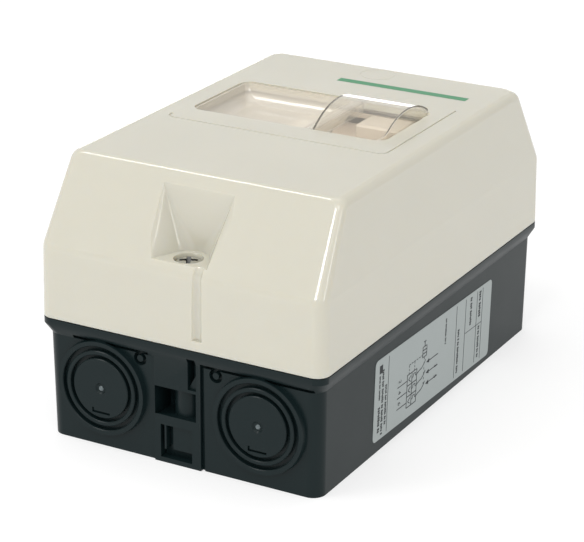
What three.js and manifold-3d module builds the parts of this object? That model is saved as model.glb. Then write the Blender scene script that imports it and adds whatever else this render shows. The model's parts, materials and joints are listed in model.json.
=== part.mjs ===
// Motor protection breaker in a wall-mounting insulated enclosure.
//
// Millimetres. Origin: centre of the enclosure's back face, which lies on the wall.
// +X is the enclosure's width, +Y its length (the line end), +Z points away from the wall.
//
// The enclosure is a base box with cable-entry knock-outs, a cover held by two captive screws
// and a clear flexible window. A three-pole breaker is clipped on the rail moulded in the base:
// its start and stop buttons stand under the window's dome.

import * as THREE from "three";
import { mergeVertices } from "three/addons/utils/BufferGeometryUtils.js";
import { ConvexGeometry } from "three/addons/geometries/ConvexGeometry.js";
import Module from "manifold-3d";

const wasm = await Module();
wasm.setup();

// ---------------------------------------------------------------- driving dimensions

// Enclosure
const WIDTH = 93; // across, at the lip
const LENGTH = 147; // end to end, at the lip
const HEIGHT = 84; // wall to the cover's flat top
const SPLIT_Z = 37.4; // lower edge of the cover
const BEND_Z = 59; // where the end walls start to slope
const END_SLOPE_INSET = 15.3; // how far each end has come in at the top
const SIDE_DRAFT_INSET = 2.2; // how far each side has come in at the top
const BAND_DRAFT = 0.3; // draft of the cover's upright band
const CORNER_RADIUS = 4; // upright corners, outside
const TOP_EDGE_RADIUS = 3; // the cover's long top edges
const COVER_WALL = 2.5;
const BASE_WALL = 2.4;
const FLOOR = 2.5;
const LIP_HEIGHT = 1.9; // upright band of the base's lip
const LIP_CHAMFER_HEIGHT = 3.1;
const LIP_OVERHANG = 1.95; // lip beyond the base's wall
const BASE_DRAFT = 0.35; // draft of the base's wall, lip to floor
const RUNNING_GAP = 0.3; // between neighbours that touch or slide

// Cover fixing
const SCREW_INSET = 7.1; // cover screws' axis, from the end
const SCREW_HEAD_RADIUS = 4.15;
const SCREW_HEAD_HEIGHT = 2.6;
const SCREW_SHANK_RADIUS = 2;
const SCREW_LENGTH = 32; // under the head
const SCREW_HEAD_SINK = 0.4; // head below the pocket's floor
const POST_RADIUS = 4.2;
const TOWER_RADIUS = 5.6;
const POCKET_FLOOR_Z = 61.6;
const POCKET_ARC_RADIUS = 5.9; // back of the pocket round the screw
const POCKET_FLARE_DEG = 26; // side walls, away from the length direction
const POCKET_TOP_HALF = 11.6; // half width where the pocket runs out at the top
const POCKET_WALL = 2.2;

// Cable entries
const ENTRY_INSET = 20.3; // entry's centre, from the enclosure's side
const ENTRY_Z = 18.75;
const ENTRY_BOSS_RADIUS = 14.4;
const ENTRY_BOSS_TAPER = 0.6;
const ENTRY_LARGE_RADIUS = 12.9; // large knock-out, groove's outer wall
const ENTRY_SMALL_RADIUS = 10.8; // small knock-out, groove's outer wall
const ENTRY_GROOVE = 1; // groove width
const ENTRY_GROOVE_DEPTH = 1.6;

// Window
const WINDOW_LEFT_X = -34.8;
const WINDOW_Y = [-7, 25.2];
const WINDOW_CORNER = 2.5;
const DOME_MARGINS = [3.5, 4.8]; // dome's end walls, beyond the buttons
const DOME_RISE = 5.5; // crest above the cover's top
const TRAY_WIDTH = 38; // sunken tray, from the window's left edge
const TRAY_DEPTH = 6; // tray's floor below the cover's top
const FILM = 0.9; // membrane wall
const FLANGE = 1; // membrane flange
const FLANGE_WIDTH = 3; // flange beyond the opening
const FRAME_HEIGHT = 1.8;
const PEG_RADIUS = 1.1;
const PEG_MARGIN = 2.4; // pegs' axes beyond the opening, in the flange
const WINDOW_LINE_MARGINS = { left: 1.9, right: 5.5, near: 10, far: 4 };

// Breaker
const POLE_PITCH = 13.5;
const POLE_PARTITION = 2; // wall between two poles
const SIDE_WALL = 3.05; // breaker's side walls
const BREAKER_LENGTH = 88.6;
const BREAKER_X = 9; // breaker's middle, from the enclosure's middle
const RAIL_TOP_Z = 10;
const RAIL_WIDTH = 35;
const RAIL_NECK = 27;
const RAIL_LIP = 1.2;
const RAIL_LENGTH = 56;
const LOWER_TOP = 17; // heights above the rail from here on
const UPPER_TOP = 40;
const NOSE_TO_FRAME = 2.5; // nose's face below the window's retaining frame
const NOSE_Y = [-23, 27];
const HOUSING_WALL = 2;
const TERMINAL_Y = 37;
const TERMINAL_ZONE_Y = 31.5; // terminals lie beyond this
const BUTTON_TRAVEL = 3;
const BUTTON_RISE = 4.9; // raised button's crown above the nose
const START_Y = [12.5, 23.5];
const STOP_Y = [-4.5, 7.5];
const BUTTON_X = [1.5, 16.5];
const ROCKER_Y = 10;
const ROCKER_Z = 33;
const ROCKER_TILT_DEG = 10.8;
const START_STEM = { x: [8.5, 11], y: [16.5, 19.5] };
const STOP_STEM = { x: [8.5, 11], y: [0.5, 3.5] };
const TRIP_Y = -14;
const TRIP_Z = 26.5;
const DIAL_Y = 14;
const TEST_PIN_Y = -19;
const COIL_Y = -8;
const BIMETAL_Y = -22;
const CONTACT_LEVEL = 13; // top of the fixed contact bars
const BAR = 1; // copper bar thickness
const BAR_HALF = 2.5; // copper bar half width

// Facets
const ROUND_STEPS = 3; // on a quarter of a rounded corner
const BIG_SIDES = 24;
const SIDES = 18;
const SMALL_SIDES = 12;
const TINY_SIDES = 8;

// ---------------------------------------------------------------- solids

function toSolid(geometry) {
  const bare = geometry.clone();
  bare.deleteAttribute("normal");
  bare.deleteAttribute("uv");
  const merged = mergeVertices(bare, 1e-4);
  const vertProperties = Float32Array.from(merged.attributes.position.array);
  const triVerts = Uint32Array.from(merged.index.array);
  return new wasm.Manifold(new wasm.Mesh({ numProp: 3, vertProperties, triVerts }));
}

function toGeometry(solid) {
  const mesh = solid.getMesh();
  const geometry = new THREE.BufferGeometry();
  geometry.setAttribute("position", new THREE.BufferAttribute(mesh.vertProperties, 3));
  geometry.setIndex(new THREE.BufferAttribute(mesh.triVerts, 1));
  return geometry;
}

const join = (...solids) => solids.reduce((sum, solid) => sum.add(solid));
const cut = (body, ...tools) => tools.reduce((rest, tool) => rest.subtract(tool), body);

// A block between two values on each axis.
function block([x0, x1], [y0, y1], [z0, z1]) {
  const geometry = new THREE.BoxGeometry(x1 - x0, y1 - y0, z1 - z0);
  geometry.translate((x0 + x1) / 2, (y0 + y1) / 2, (z0 + z1) / 2);
  return toSolid(geometry);
}

// A cylinder or cone along +Z from z0 to z1, standing at (x, y).
function rodZ(x, y, z0, z1, radius, sides = SIDES, topRadius = radius) {
  const geometry = new THREE.CylinderGeometry(topRadius, radius, z1 - z0, sides);
  geometry.rotateX(Math.PI / 2);
  geometry.translate(x, y, (z0 + z1) / 2);
  return toSolid(geometry);
}

function rodX(x0, x1, y, z, radius, sides = SMALL_SIDES) {
  const geometry = new THREE.CylinderGeometry(radius, radius, x1 - x0, sides);
  geometry.rotateZ(Math.PI / 2);
  geometry.translate((x0 + x1) / 2, y, z);
  return toSolid(geometry);
}

function rodY(x, y0, y1, z, radius, sides = SIDES, farRadius = radius) {
  const geometry = new THREE.CylinderGeometry(farRadius, radius, y1 - y0, sides);
  geometry.translate(x, (y0 + y1) / 2, z);
  return toSolid(geometry);
}

// A closed profile of [radius, height] points turned about Z at (x, y).
function turned(x, y, profile, sides = SIDES) {
  const points = [...profile, profile[0]].map(([r, h]) => new THREE.Vector2(r, h));
  const geometry = new THREE.LatheGeometry(points, sides);
  geometry.rotateX(Math.PI / 2);
  geometry.translate(x, y, 0);
  return toSolid(geometry);
}

// A ring of rectangular section about an axis along Y: the groove of a knock-out.
function ringY(x, z, y0, y1, inner, outer, sides) {
  return cut(
    rodY(x, y0, y1, z, outer, sides),
    rodY(x, y0 - 1, y1 + 1, z, inner, sides),
  );
}

// An outline of [a, b] points in one plane, extruded along the third axis between c0 and c1.
function prism(plane, outline, c0, c1) {
  const shape = new THREE.Shape(outline.map(([a, b]) => new THREE.Vector2(a, b)));
  const geometry = new THREE.ExtrudeGeometry(shape, { depth: c1 - c0, bevelEnabled: false });
  geometry.translate(0, 0, plane === "xz" ? -c1 : c0);
  if (plane !== "xy") {
    geometry.rotateX(Math.PI / 2);
  }
  if (plane === "yz") {
    geometry.rotateZ(Math.PI / 2);
  }
  return toSolid(geometry);
}

// Corner points of a rounded rectangle at one height, for a hull.
function roundedPoints(halfX, halfY, radius, z, centre = [0, 0]) {
  const points = [];
  for (const [sx, sy, start] of [[1, 1, 0], [-1, 1, 1], [-1, -1, 2], [1, -1, 3]]) {
    for (let step = 0; step <= ROUND_STEPS; step += 1) {
      const angle = (start + step / ROUND_STEPS) * Math.PI / 2;
      points.push(new THREE.Vector3(
        centre[0] + sx * (halfX - radius) + radius * Math.cos(angle),
        centre[1] + sy * (halfY - radius) + radius * Math.sin(angle),
        z,
      ));
    }
  }
  return points;
}

const hull = (points) => toSolid(new ConvexGeometry(points));

// An upright block with rounded corners between two heights.
function roundedBlock([x0, x1], [y0, y1], radius, z0, z1) {
  const centre = [(x0 + x1) / 2, (y0 + y1) / 2];
  const half = [(x1 - x0) / 2, (y1 - y0) / 2];
  return hull([z0, z1].flatMap((z) => roundedPoints(half[0], half[1], radius, z, centre)));
}

const centred = (half) => [-half, half];
const grown = ([low, high], by) => [low - by, high + by];

// The same solid at both ends of the enclosure: the far one is the near one turned half round.
const turnedRound = (solid) => toSolid(toGeometry(solid).rotateZ(Math.PI));
const bothEnds = (solid) => solid.add(turnedRound(solid));

// ---------------------------------------------------------------- enclosure outlines

const SLOPE = (END_SLOPE_INSET - BAND_DRAFT) / (HEIGHT - BEND_Z); // inwards per unit of height
const SLOPE_STRETCH = Math.hypot(1, SLOPE); // level distance across a sloping wall
const ROOF_Z = HEIGHT - COVER_WALL; // underside of the cover's top
const LIP_TOP_Z = SPLIT_Z - RUNNING_GAP;
const CHAMFER_TOP_Z = LIP_TOP_Z - LIP_HEIGHT;
const CHAMFER_FOOT_Z = CHAMFER_TOP_Z - LIP_CHAMFER_HEIGHT;
const BASE_HALF = [WIDTH / 2 - LIP_OVERHANG, LENGTH / 2 - LIP_OVERHANG]; // wall under the lip
const INNER_HALF = [BASE_HALF[0] - BASE_WALL, BASE_HALF[1] - BASE_WALL];
const FRONT_WALL_Y = -(BASE_HALF[1] - BASE_DRAFT / 2); // middle of the near wall's face
const SCREW_Y = LENGTH / 2 - SCREW_INSET;
const WINDOW_X = [WINDOW_LEFT_X, BREAKER_X + BUTTON_X[1] + DOME_MARGINS[1] + RUNNING_GAP];
const FLANGE_Z = ROOF_Z - RUNNING_GAP - FLANGE; // underside of the membrane's flange
const FRAME_Z = FLANGE_Z - RUNNING_GAP - FRAME_HEIGHT; // underside of the retaining frame

function coverHalf(z) {
  const band = BAND_DRAFT * Math.min(z - SPLIT_Z, BEND_Z - SPLIT_Z) / (BEND_Z - SPLIT_Z);
  const above = Math.max(z - BEND_Z, 0);
  const sideSlope = (SIDE_DRAFT_INSET - BAND_DRAFT) / (HEIGHT - BEND_Z);
  return [WIDTH / 2 - band - sideSlope * above, LENGTH / 2 - band - SLOPE * above];
}

function coverOutside() {
  const points = [SPLIT_Z, BEND_Z].flatMap((z) => roundedPoints(...coverHalf(z), CORNER_RADIUS, z));
  const topHalfX = coverHalf(HEIGHT)[0];
  for (let step = 0; step <= ROUND_STEPS; step += 1) {
    const angle = step / ROUND_STEPS * Math.PI / 2;
    const z = HEIGHT - TOP_EDGE_RADIUS * (1 - Math.sin(angle));
    const halfX = topHalfX - TOP_EDGE_RADIUS * (1 - Math.cos(angle));
    points.push(...roundedPoints(halfX, coverHalf(z)[1], CORNER_RADIUS / 2, z));
  }
  return hull(points);
}

function coverInside() {
  const radius = CORNER_RADIUS - COVER_WALL;
  const bendZ = BEND_Z - COVER_WALL * (SLOPE_STRETCH - 1) / SLOPE;
  const [footX, footY] = coverHalf(SPLIT_Z);
  const [bendX, bendY] = coverHalf(bendZ);
  const [roofX, roofY] = coverHalf(ROOF_Z);
  return hull([
    ...roundedPoints(footX - COVER_WALL, footY - COVER_WALL, radius, SPLIT_Z - 1),
    ...roundedPoints(bendX - COVER_WALL, bendY - COVER_WALL, radius, bendZ),
    ...roundedPoints(roofX - COVER_WALL, roofY - COVER_WALL * SLOPE_STRETCH, radius, ROOF_Z),
  ]);
}

// An upright ring that follows the enclosure's outline, its outer face `inset` inside it.
function perimeterRing(inset, width, z0, z1) {
  const outer = CORNER_RADIUS - inset;
  const inner = Math.max(outer - width, 0.5);
  const outerBlock = roundedBlock(
    centred(WIDTH / 2 - inset), centred(LENGTH / 2 - inset), outer, z0, z1,
  );
  const innerBlock = roundedBlock(
    centred(WIDTH / 2 - inset - width), centred(LENGTH / 2 - inset - width), inner, z0 - 1, z1 + 1,
  );
  return cut(outerBlock, innerBlock);
}

// ---------------------------------------------------------------- cover

const HEAD_SEAT_Z = POCKET_FLOOR_Z - SCREW_HEAD_SINK - SCREW_HEAD_HEIGHT; // under the head
const TOWER_FOOT_Z = SPLIT_Z;
const POST_TOP_Z = TOWER_FOOT_Z - 0.4;
const SHANK_CLEARANCE = 0.4;
const RING_RADIUS = 3.7; // captive ring
const RING_HEIGHT = 1.3;
const UNSCREW_TRAVEL = 11.2; // a loose screw's rise: sixteen turns of M4 thread
const RING_FOOT_Z = TOWER_FOOT_Z + 0.6;
const RING_ROOM_TOP_Z = RING_FOOT_Z + RING_HEIGHT + UNSCREW_TRAVEL + 0.4;

const TONGUE_INSET = 1.2;
const TONGUE_WIDTH = 1.2;
const TONGUE_DEPTH = 1;
const SIDE_GROOVE_X = 6.6; // shallow upright groove in the end wall
const SIDE_GROOVE_RADIUS = 1.75;
const SIDE_GROOVE_DEPTH = 0.9;
const SIDE_GROOVE_FOOT_Z = 40.3;
const LINE_WIDTH = 0.6; // fine moulded lines on the top
const LINE_DEPTH = 0.3;
const INDICATOR_AT = [-1.5, 51.4]; // thin round knock-out for an indicator lamp
const INDICATOR_RADIUS = 5.8;

// The screwdriver pocket in the near slope: a round back about the screw's axis at the floor,
// side walls that flare to the front, and generatrices that open to a level edge at the top.
function pocketHull(offset, floorZ) {
  const flare = THREE.MathUtils.degToRad(POCKET_FLARE_DEG);
  const radius = POCKET_ARC_RADIUS + offset;
  const backY = -SCREW_Y + radius;
  const slopeBackY = -SCREW_Y + POCKET_ARC_RADIUS;
  const topZ = BEND_Z + (slopeBackY - -(LENGTH / 2 - BAND_DRAFT)) / SLOPE + offset;
  const reach = 2 * POCKET_ARC_RADIUS + 4 * offset;
  const points = [];
  for (let step = 0; step <= 2 * ROUND_STEPS; step += 1) {
    const angle = flare + step / (2 * ROUND_STEPS) * (Math.PI - 2 * flare);
    points.push(new THREE.Vector3(
      radius * Math.cos(angle), -SCREW_Y + radius * Math.sin(angle), floorZ,
    ));
  }
  for (const side of [-1, 1]) {
    const footX = side * radius * Math.cos(flare);
    const footY = -SCREW_Y + radius * Math.sin(flare);
    const topX = side * (POCKET_TOP_HALF + offset);
    const outX = side * reach * Math.sin(flare);
    const outY = -reach * Math.cos(flare);
    points.push(new THREE.Vector3(footX + outX, footY + outY, floorZ));
    points.push(new THREE.Vector3(topX, backY, topZ));
    points.push(new THREE.Vector3(topX + outX, backY + outY, topZ));
  }
  return hull(points);
}

// A shallow groove of constant width along a path on the cover's top.
function topLine(path) {
  const centre = path.getPoints(ROUND_STEPS);
  const left = [];
  const right = [];
  centre.forEach((point, index) => {
    const before = centre[Math.max(index - 1, 0)];
    const after = centre[Math.min(index + 1, centre.length - 1)];
    const along = after.clone().sub(before).normalize();
    left.push([point.x - along.y * LINE_WIDTH / 2, point.y + along.x * LINE_WIDTH / 2]);
    right.unshift([point.x + along.y * LINE_WIDTH / 2, point.y - along.x * LINE_WIDTH / 2]);
  });
  return prism("xy", [...right, ...left], HEIGHT - LINE_DEPTH, HEIGHT + 1);
}

// The U-shaped line round the window's near side.
function windowLine() {
  const [x0, x1] = [WINDOW_X[0] - WINDOW_LINE_MARGINS.left, WINDOW_X[1] + WINDOW_LINE_MARGINS.right];
  const [y0, y1] = [WINDOW_Y[0] - WINDOW_LINE_MARGINS.near, WINDOW_Y[1] + WINDOW_LINE_MARGINS.far];
  const radius = WINDOW_CORNER;
  const path = new THREE.Path();
  path.moveTo(x0, y0 + radius + 1);
  path.lineTo(x0, y0 + radius);
  path.absarc(x0 + radius, y0 + radius, radius, Math.PI, 1.5 * Math.PI);
  path.lineTo(x1 - radius, y0);
  path.absarc(x1 - radius, y0 + radius, radius, 1.5 * Math.PI, 2 * Math.PI);
  path.lineTo(x1, y1);
  return topLine(path);
}

function indicatorKnockout() {
  const [x, y] = INDICATOR_AT;
  const z0 = HEIGHT - LINE_DEPTH;
  return cut(
    rodZ(x, y, z0, HEIGHT + 1, INDICATOR_RADIUS),
    rodZ(x, y, z0 - 1, HEIGHT + 2, INDICATOR_RADIUS - LINE_WIDTH),
  );
}

function sideGroove() {
  const y = coverHalf(SPLIT_Z)[1] + SIDE_GROOVE_RADIUS - SIDE_GROOVE_DEPTH;
  return rodZ(SIDE_GROOVE_X, -y, SIDE_GROOVE_FOOT_Z, HEIGHT, SIDE_GROOVE_RADIUS, SMALL_SIDES);
}

const pegPlaces = grown(WINDOW_X, PEG_MARGIN)
  .flatMap((x) => grown(WINDOW_Y, PEG_MARGIN).map((y) => [x, y]));

function buildCover() {
  const outside = coverOutside();
  const column = pocketHull(POCKET_WALL, HEAD_SEAT_Z - POCKET_WALL);
  const tower = rodZ(0, -SCREW_Y, TOWER_FOOT_Z, POCKET_FLOOR_Z, TOWER_RADIUS);
  const shell = cut(outside, coverInside());
  const pockets = bothEnds(join(column, tower)).intersect(
    join(outside, roundedBlock(
      centred(WIDTH / 2 - COVER_WALL), centred(LENGTH / 2 - COVER_WALL), 1.5, TOWER_FOOT_Z - 1, BEND_Z,
    )),
  );
  const tongue = perimeterRing(
    TONGUE_INSET, TONGUE_WIDTH, SPLIT_Z - TONGUE_DEPTH, SPLIT_Z + 0.5,
  );
  const pegs = pegPlaces.map(([x, y]) => rodZ(
    x, y, FRAME_Z - 0.6, ROOF_Z + 0.5, PEG_RADIUS, SMALL_SIDES,
  ));
  const bore = join(
    rodZ(0, -SCREW_Y, TOWER_FOOT_Z - 1, HEIGHT, SCREW_SHANK_RADIUS + SHANK_CLEARANCE),
    rodZ(0, -SCREW_Y, TOWER_FOOT_Z - 1, RING_ROOM_TOP_Z, RING_RADIUS + RUNNING_GAP),
    rodZ(0, -SCREW_Y, HEAD_SEAT_Z - RUNNING_GAP, HEIGHT, SCREW_HEAD_RADIUS + RUNNING_GAP),
  );
  const window = roundedBlock(WINDOW_X, WINDOW_Y, WINDOW_CORNER, ROOF_Z - 1, HEIGHT + 1);
  return cut(
    join(shell, pockets, tongue, ...pegs),
    bothEnds(join(pocketHull(0, POCKET_FLOOR_Z), bore, sideGroove())),
    window, windowLine(), indicatorKnockout(),
  );
}

// Captive cover screw, standing at its place; the cross recess is cut in the head.
function buildCoverScrew() {
  const top = HEAD_SEAT_Z + SCREW_HEAD_HEIGHT;
  const tip = HEAD_SEAT_Z - SCREW_LENGTH;
  const body = turned(0, 0, [
    [0, tip], [SCREW_SHANK_RADIUS / 2, tip], [SCREW_SHANK_RADIUS, tip + 1.5],
    [SCREW_SHANK_RADIUS, HEAD_SEAT_Z], [SCREW_HEAD_RADIUS, HEAD_SEAT_Z],
    [SCREW_HEAD_RADIUS, top - 0.8], [SCREW_HEAD_RADIUS * 0.8, top - 0.15], [0, top],
  ]);
  const recess = [top - 1.6, top + 1];
  return cut(body, block(centred(2.4), centred(0.6), recess), block(centred(0.6), centred(2.4), recess));
}

function buildRetainingRing() {
  const inner = SCREW_SHANK_RADIUS + RUNNING_GAP;
  return turned(0, 0, [
    [inner, RING_FOOT_Z], [RING_RADIUS, RING_FOOT_Z],
    [RING_RADIUS, RING_FOOT_Z + RING_HEIGHT], [inner, RING_FOOT_Z + RING_HEIGHT],
  ]);
}

// ---------------------------------------------------------------- window

const DOME_LEFT_X = BREAKER_X + BUTTON_X[0] - DOME_MARGINS[0];
const TRAY_RIGHT_X = WINDOW_LEFT_X + TRAY_WIDTH;
const MEMBRANE_TOP_Z = HEIGHT - 0.4; // membrane's rim inside the opening
const MEMBRANE_GAP = 0.4; // membrane to the opening's edge

const pegHoles = (z0, z1) => pegPlaces.map(([x, y]) => rodZ(
  x, y, z0, z1, PEG_RADIUS + RUNNING_GAP, SMALL_SIDES,
));

// The dome's outline across the enclosure, `inset` inside its outer face.
function domeOutline(inset) {
  const [y0, y1] = grown(WINDOW_Y, -MEMBRANE_GAP);
  const half = (y1 - y0) / 2;
  const rise = HEIGHT + DOME_RISE - MEMBRANE_TOP_Z;
  const radius = (half * half + rise * rise) / (2 * rise);
  const centreZ = MEMBRANE_TOP_Z + rise - radius;
  const spread = Math.asin((half - inset) / (radius - inset));
  const steps = 4 * ROUND_STEPS;
  const outline = [[y1 - inset, FLANGE_Z - inset], [y1 - inset, MEMBRANE_TOP_Z - inset]];
  for (let step = 0; step <= steps; step += 1) {
    const angle = Math.PI / 2 - spread + 2 * spread * step / steps;
    outline.push([
      (y0 + y1) / 2 + (radius - inset) * Math.cos(angle),
      centreZ + (radius - inset) * Math.sin(angle),
    ]);
  }
  outline.push([y0 + inset, MEMBRANE_TOP_Z - inset], [y0 + inset, FLANGE_Z - inset]);
  return outline;
}

function buildMembrane() {
  const [x0, x1] = grown(WINDOW_X, -MEMBRANE_GAP);
  const [y0, y1] = grown(WINDOW_Y, -MEMBRANE_GAP);
  const trayFloor = HEIGHT - TRAY_DEPTH;
  const radius = WINDOW_CORNER - MEMBRANE_GAP;
  const flange = roundedBlock(
    grown(WINDOW_X, FLANGE_WIDTH), grown(WINDOW_Y, FLANGE_WIDTH),
    WINDOW_CORNER, FLANGE_Z, FLANGE_Z + FLANGE,
  );
  const rim = roundedBlock([x0, x1], [y0, y1], radius, FLANGE_Z, MEMBRANE_TOP_Z);
  const tray = roundedBlock(
    [x0, TRAY_RIGHT_X + FILM], [y0, y1], radius, trayFloor - FILM, MEMBRANE_TOP_Z,
  );
  const roundedPlan = (inset) => roundedBlock(
    [DOME_LEFT_X - radius, x1 - inset], [y0 + inset, y1 - inset], radius - inset,
    FLANGE_Z - 1, HEIGHT + DOME_RISE + 1,
  );
  const dome = prism("yz", domeOutline(0), DOME_LEFT_X, x1).intersect(roundedPlan(0));
  const trayHollow = roundedBlock(
    [x0 + FILM, TRAY_RIGHT_X], [y0 + FILM, y1 - FILM], radius - FILM, trayFloor, HEIGHT + 1,
  );
  const domeHollow = prism("yz", domeOutline(FILM), DOME_LEFT_X + FILM, x1 - FILM)
    .intersect(roundedPlan(FILM));
  const ribHollow = block(
    [TRAY_RIGHT_X + 2 * FILM, DOME_LEFT_X - FILM],
    [y0 + FILM, y1 - FILM], [FLANGE_Z - 1, MEMBRANE_TOP_Z - FILM],
  );
  return cut(
    join(flange, rim, tray, dome),
    trayHollow, domeHollow, ribHollow, ...pegHoles(FLANGE_Z - 1, ROOF_Z),
  );
}

function buildRetainingFrame() {
  const plate = roundedBlock(
    grown(WINDOW_X, FLANGE_WIDTH), grown(WINDOW_Y, FLANGE_WIDTH),
    WINDOW_CORNER, FRAME_Z, FRAME_Z + FRAME_HEIGHT,
  );
  const opening = roundedBlock(WINDOW_X, WINDOW_Y, WINDOW_CORNER, FRAME_Z - 1, FLANGE_Z);
  return cut(plate, opening, ...pegHoles(FRAME_Z - 1, FLANGE_Z));
}

// ---------------------------------------------------------------- base

const ENTRY_FACE_Y = -(LENGTH / 2 - 0.1); // face of the cable-entry bosses
const PRY_HALF = 3.2; // notch for a screwdriver, in the small knock-out's groove
const PRY_HEIGHT = 0.5;
const PRY_DROP = 7.8; // notch below the entry's centre
const GASKET_GROOVE_INSET = TONGUE_INSET - RUNNING_GAP;
const GASKET_GROOVE_WIDTH = TONGUE_WIDTH + 2 * RUNNING_GAP;
const GASKET_GROOVE_DEPTH = 2.5;
const GASKET_HEIGHT = 1.2;
const PILLAR_X = [-11, 9]; // solid block behind the clip recesses
const PILLAR_DEPTH = 10.5;
const PANEL_X = [-8.4, 6.9];
const PANEL_PROUD = 0.5;
const NICHE_X = [-8.2, 5.4];
const NICHE_Z = [14, 23.5];
const NICHE_DEPTH = 8;
const SLOT_X = [2.8, 5.5];
const SLOT_Z = [24.4, 34.2];
const SLOT_DEPTH = 3.5;
const SLOT_RAMP_RISE = 5.3; // ramp in the slot's foot, side to side
const CLIP_X = [-6.4, 4];
const CLIP_Z = [1.5, 11.8];
const CLIP_DEPTH = 3;
const CLIP_FOOT_HEIGHT = 2.8; // level part of the U-shaped channel
const CLIP_CHANNEL = [1.3, 1.9, 3.7]; // edges of its upright parts, from the left
const BLIND_HOLE_X = [-13.1, 11.8];
const BLIND_HOLE_Z = 30.5;
const BLIND_HOLE_RADII = [1, 2.1];
const UNDERCUT_INSETS = [10.9, 3.5]; // ends of the slots under the lip, from the sides
const UNDERCUT_GAP = 1.9; // slot's other end, beyond the middle panel
const UNDERCUT_HEIGHT = 1.1;
const FIXING_INSET = [13.5, 21.5]; // wall screws, from the side and from the end
const FIXING_RADIUS = 2.25;
const EARTH_X = -29;

// One near-wall cable entry: what is added outside, and what is cut away.
function entryAt(x) {
  const wallY = FRONT_WALL_Y;
  const boss = rodY(
    x, ENTRY_FACE_Y, wallY + BASE_WALL / 2, ENTRY_Z,
    ENTRY_BOSS_RADIUS, BIG_SIDES, ENTRY_BOSS_RADIUS + ENTRY_BOSS_TAPER,
  );
  const nub = rodY(x, ENTRY_FACE_Y - 0.1, ENTRY_FACE_Y + 0.5, ENTRY_Z, 0.4, TINY_SIDES, 1);
  const floorY = ENTRY_FACE_Y + ENTRY_GROOVE_DEPTH;
  const backRecess = rodY(
    x, ENTRY_FACE_Y + BASE_WALL, wallY + 2 * BASE_WALL, ENTRY_Z,
    ENTRY_LARGE_RADIUS + ENTRY_GROOVE, BIG_SIDES,
  );
  const grooves = [ENTRY_LARGE_RADIUS, ENTRY_SMALL_RADIUS].map((outer) => ringY(
    x, ENTRY_Z, ENTRY_FACE_Y - 1, floorY, outer - ENTRY_GROOVE, outer, BIG_SIDES,
  ));
  const pryTop = ENTRY_Z - PRY_DROP;
  const pry = block(
    [x - PRY_HALF, x + PRY_HALF], [ENTRY_FACE_Y - 1, ENTRY_FACE_Y + 0.7],
    [pryTop - PRY_HEIGHT, pryTop],
  );
  return { boss, nub, backRecess, grooves: join(...grooves, pry) };
}

// Recesses of the near wall between the entries: slot with a ramp, niche round the screw post,
// and a U-shaped channel that leaves a clip tongue standing.
function clipRecesses() {
  const face = FRONT_WALL_Y - PANEL_PROUD;
  const outside = face - 1;
  const niche = cut(
    block(NICHE_X, [outside, FRONT_WALL_Y + NICHE_DEPTH], NICHE_Z),
    rodZ(0, -SCREW_Y, NICHE_Z[0] - 1, NICHE_Z[1] + 1, POST_RADIUS),
  );
  const sill = prism("xy", [
    [NICHE_X[0], face], [NICHE_X[1], face], [NICHE_X[1], face + 5],
  ], NICHE_Z[0] - 0.1, NICHE_Z[0] + 0.8);
  const slot = block(SLOT_X, [outside, face + SLOT_DEPTH], SLOT_Z);
  const [rampX, rampFoot] = [grown(SLOT_X, 0.1), SLOT_Z[0] - 0.1];
  const ramp = prism("xz", [
    [rampX[0], rampFoot], [rampX[1], rampFoot],
    [rampX[1], rampFoot + 0.4 + SLOT_RAMP_RISE], [rampX[0], rampFoot + 0.4],
  ], face + 0.9, face + SLOT_DEPTH + 0.5);
  const [clipLeft, clipRight] = CLIP_X;
  const [clipFoot, clipTop] = CLIP_Z;
  const [firstEnd, secondStart, secondEnd] = CLIP_CHANNEL.map((edge) => clipLeft + edge);
  const channelTop = clipFoot + CLIP_FOOT_HEIGHT;
  const deep = [outside, face + CLIP_DEPTH];
  const channels = join(
    block([clipLeft, clipRight], deep, [clipFoot, channelTop]),
    block([clipLeft, firstEnd], deep, [clipFoot, clipTop]),
    block([secondStart, secondEnd], [outside, deep[1] - 0.4], [channelTop - 0.5, clipTop]),
    block([secondEnd - 0.5, clipRight], [outside, face + 0.8], [channelTop - 0.5, clipTop]),
  );
  const edgeX = PANEL_X[1];
  const edgeLine = block([edgeX, edgeX + 1], [outside, FRONT_WALL_Y + 0.8], [-1, CHAMFER_FOOT_Z + 1]);
  const blindHoles = BLIND_HOLE_X.map((x) => ringY(
    x, BLIND_HOLE_Z, outside, FRONT_WALL_Y + 1.4, ...BLIND_HOLE_RADII, SMALL_SIDES,
  ));
  const undercutY = [FRONT_WALL_Y - 1, FRONT_WALL_Y + 0.9];
  const undercutZ = [CHAMFER_FOOT_Z, CHAMFER_FOOT_Z + UNDERCUT_HEIGHT];
  const undercuts = [
    [UNDERCUT_INSETS[0] - WIDTH / 2, PANEL_X[0] - UNDERCUT_GAP],
    [edgeX, WIDTH / 2 - UNDERCUT_INSETS[1]],
  ].map((x) => block(x, undercutY, undercutZ));
  return join(
    cut(niche, sill), cut(slot, ramp), channels, edgeLine, ...blindHoles, ...undercuts,
  );
}

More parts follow.
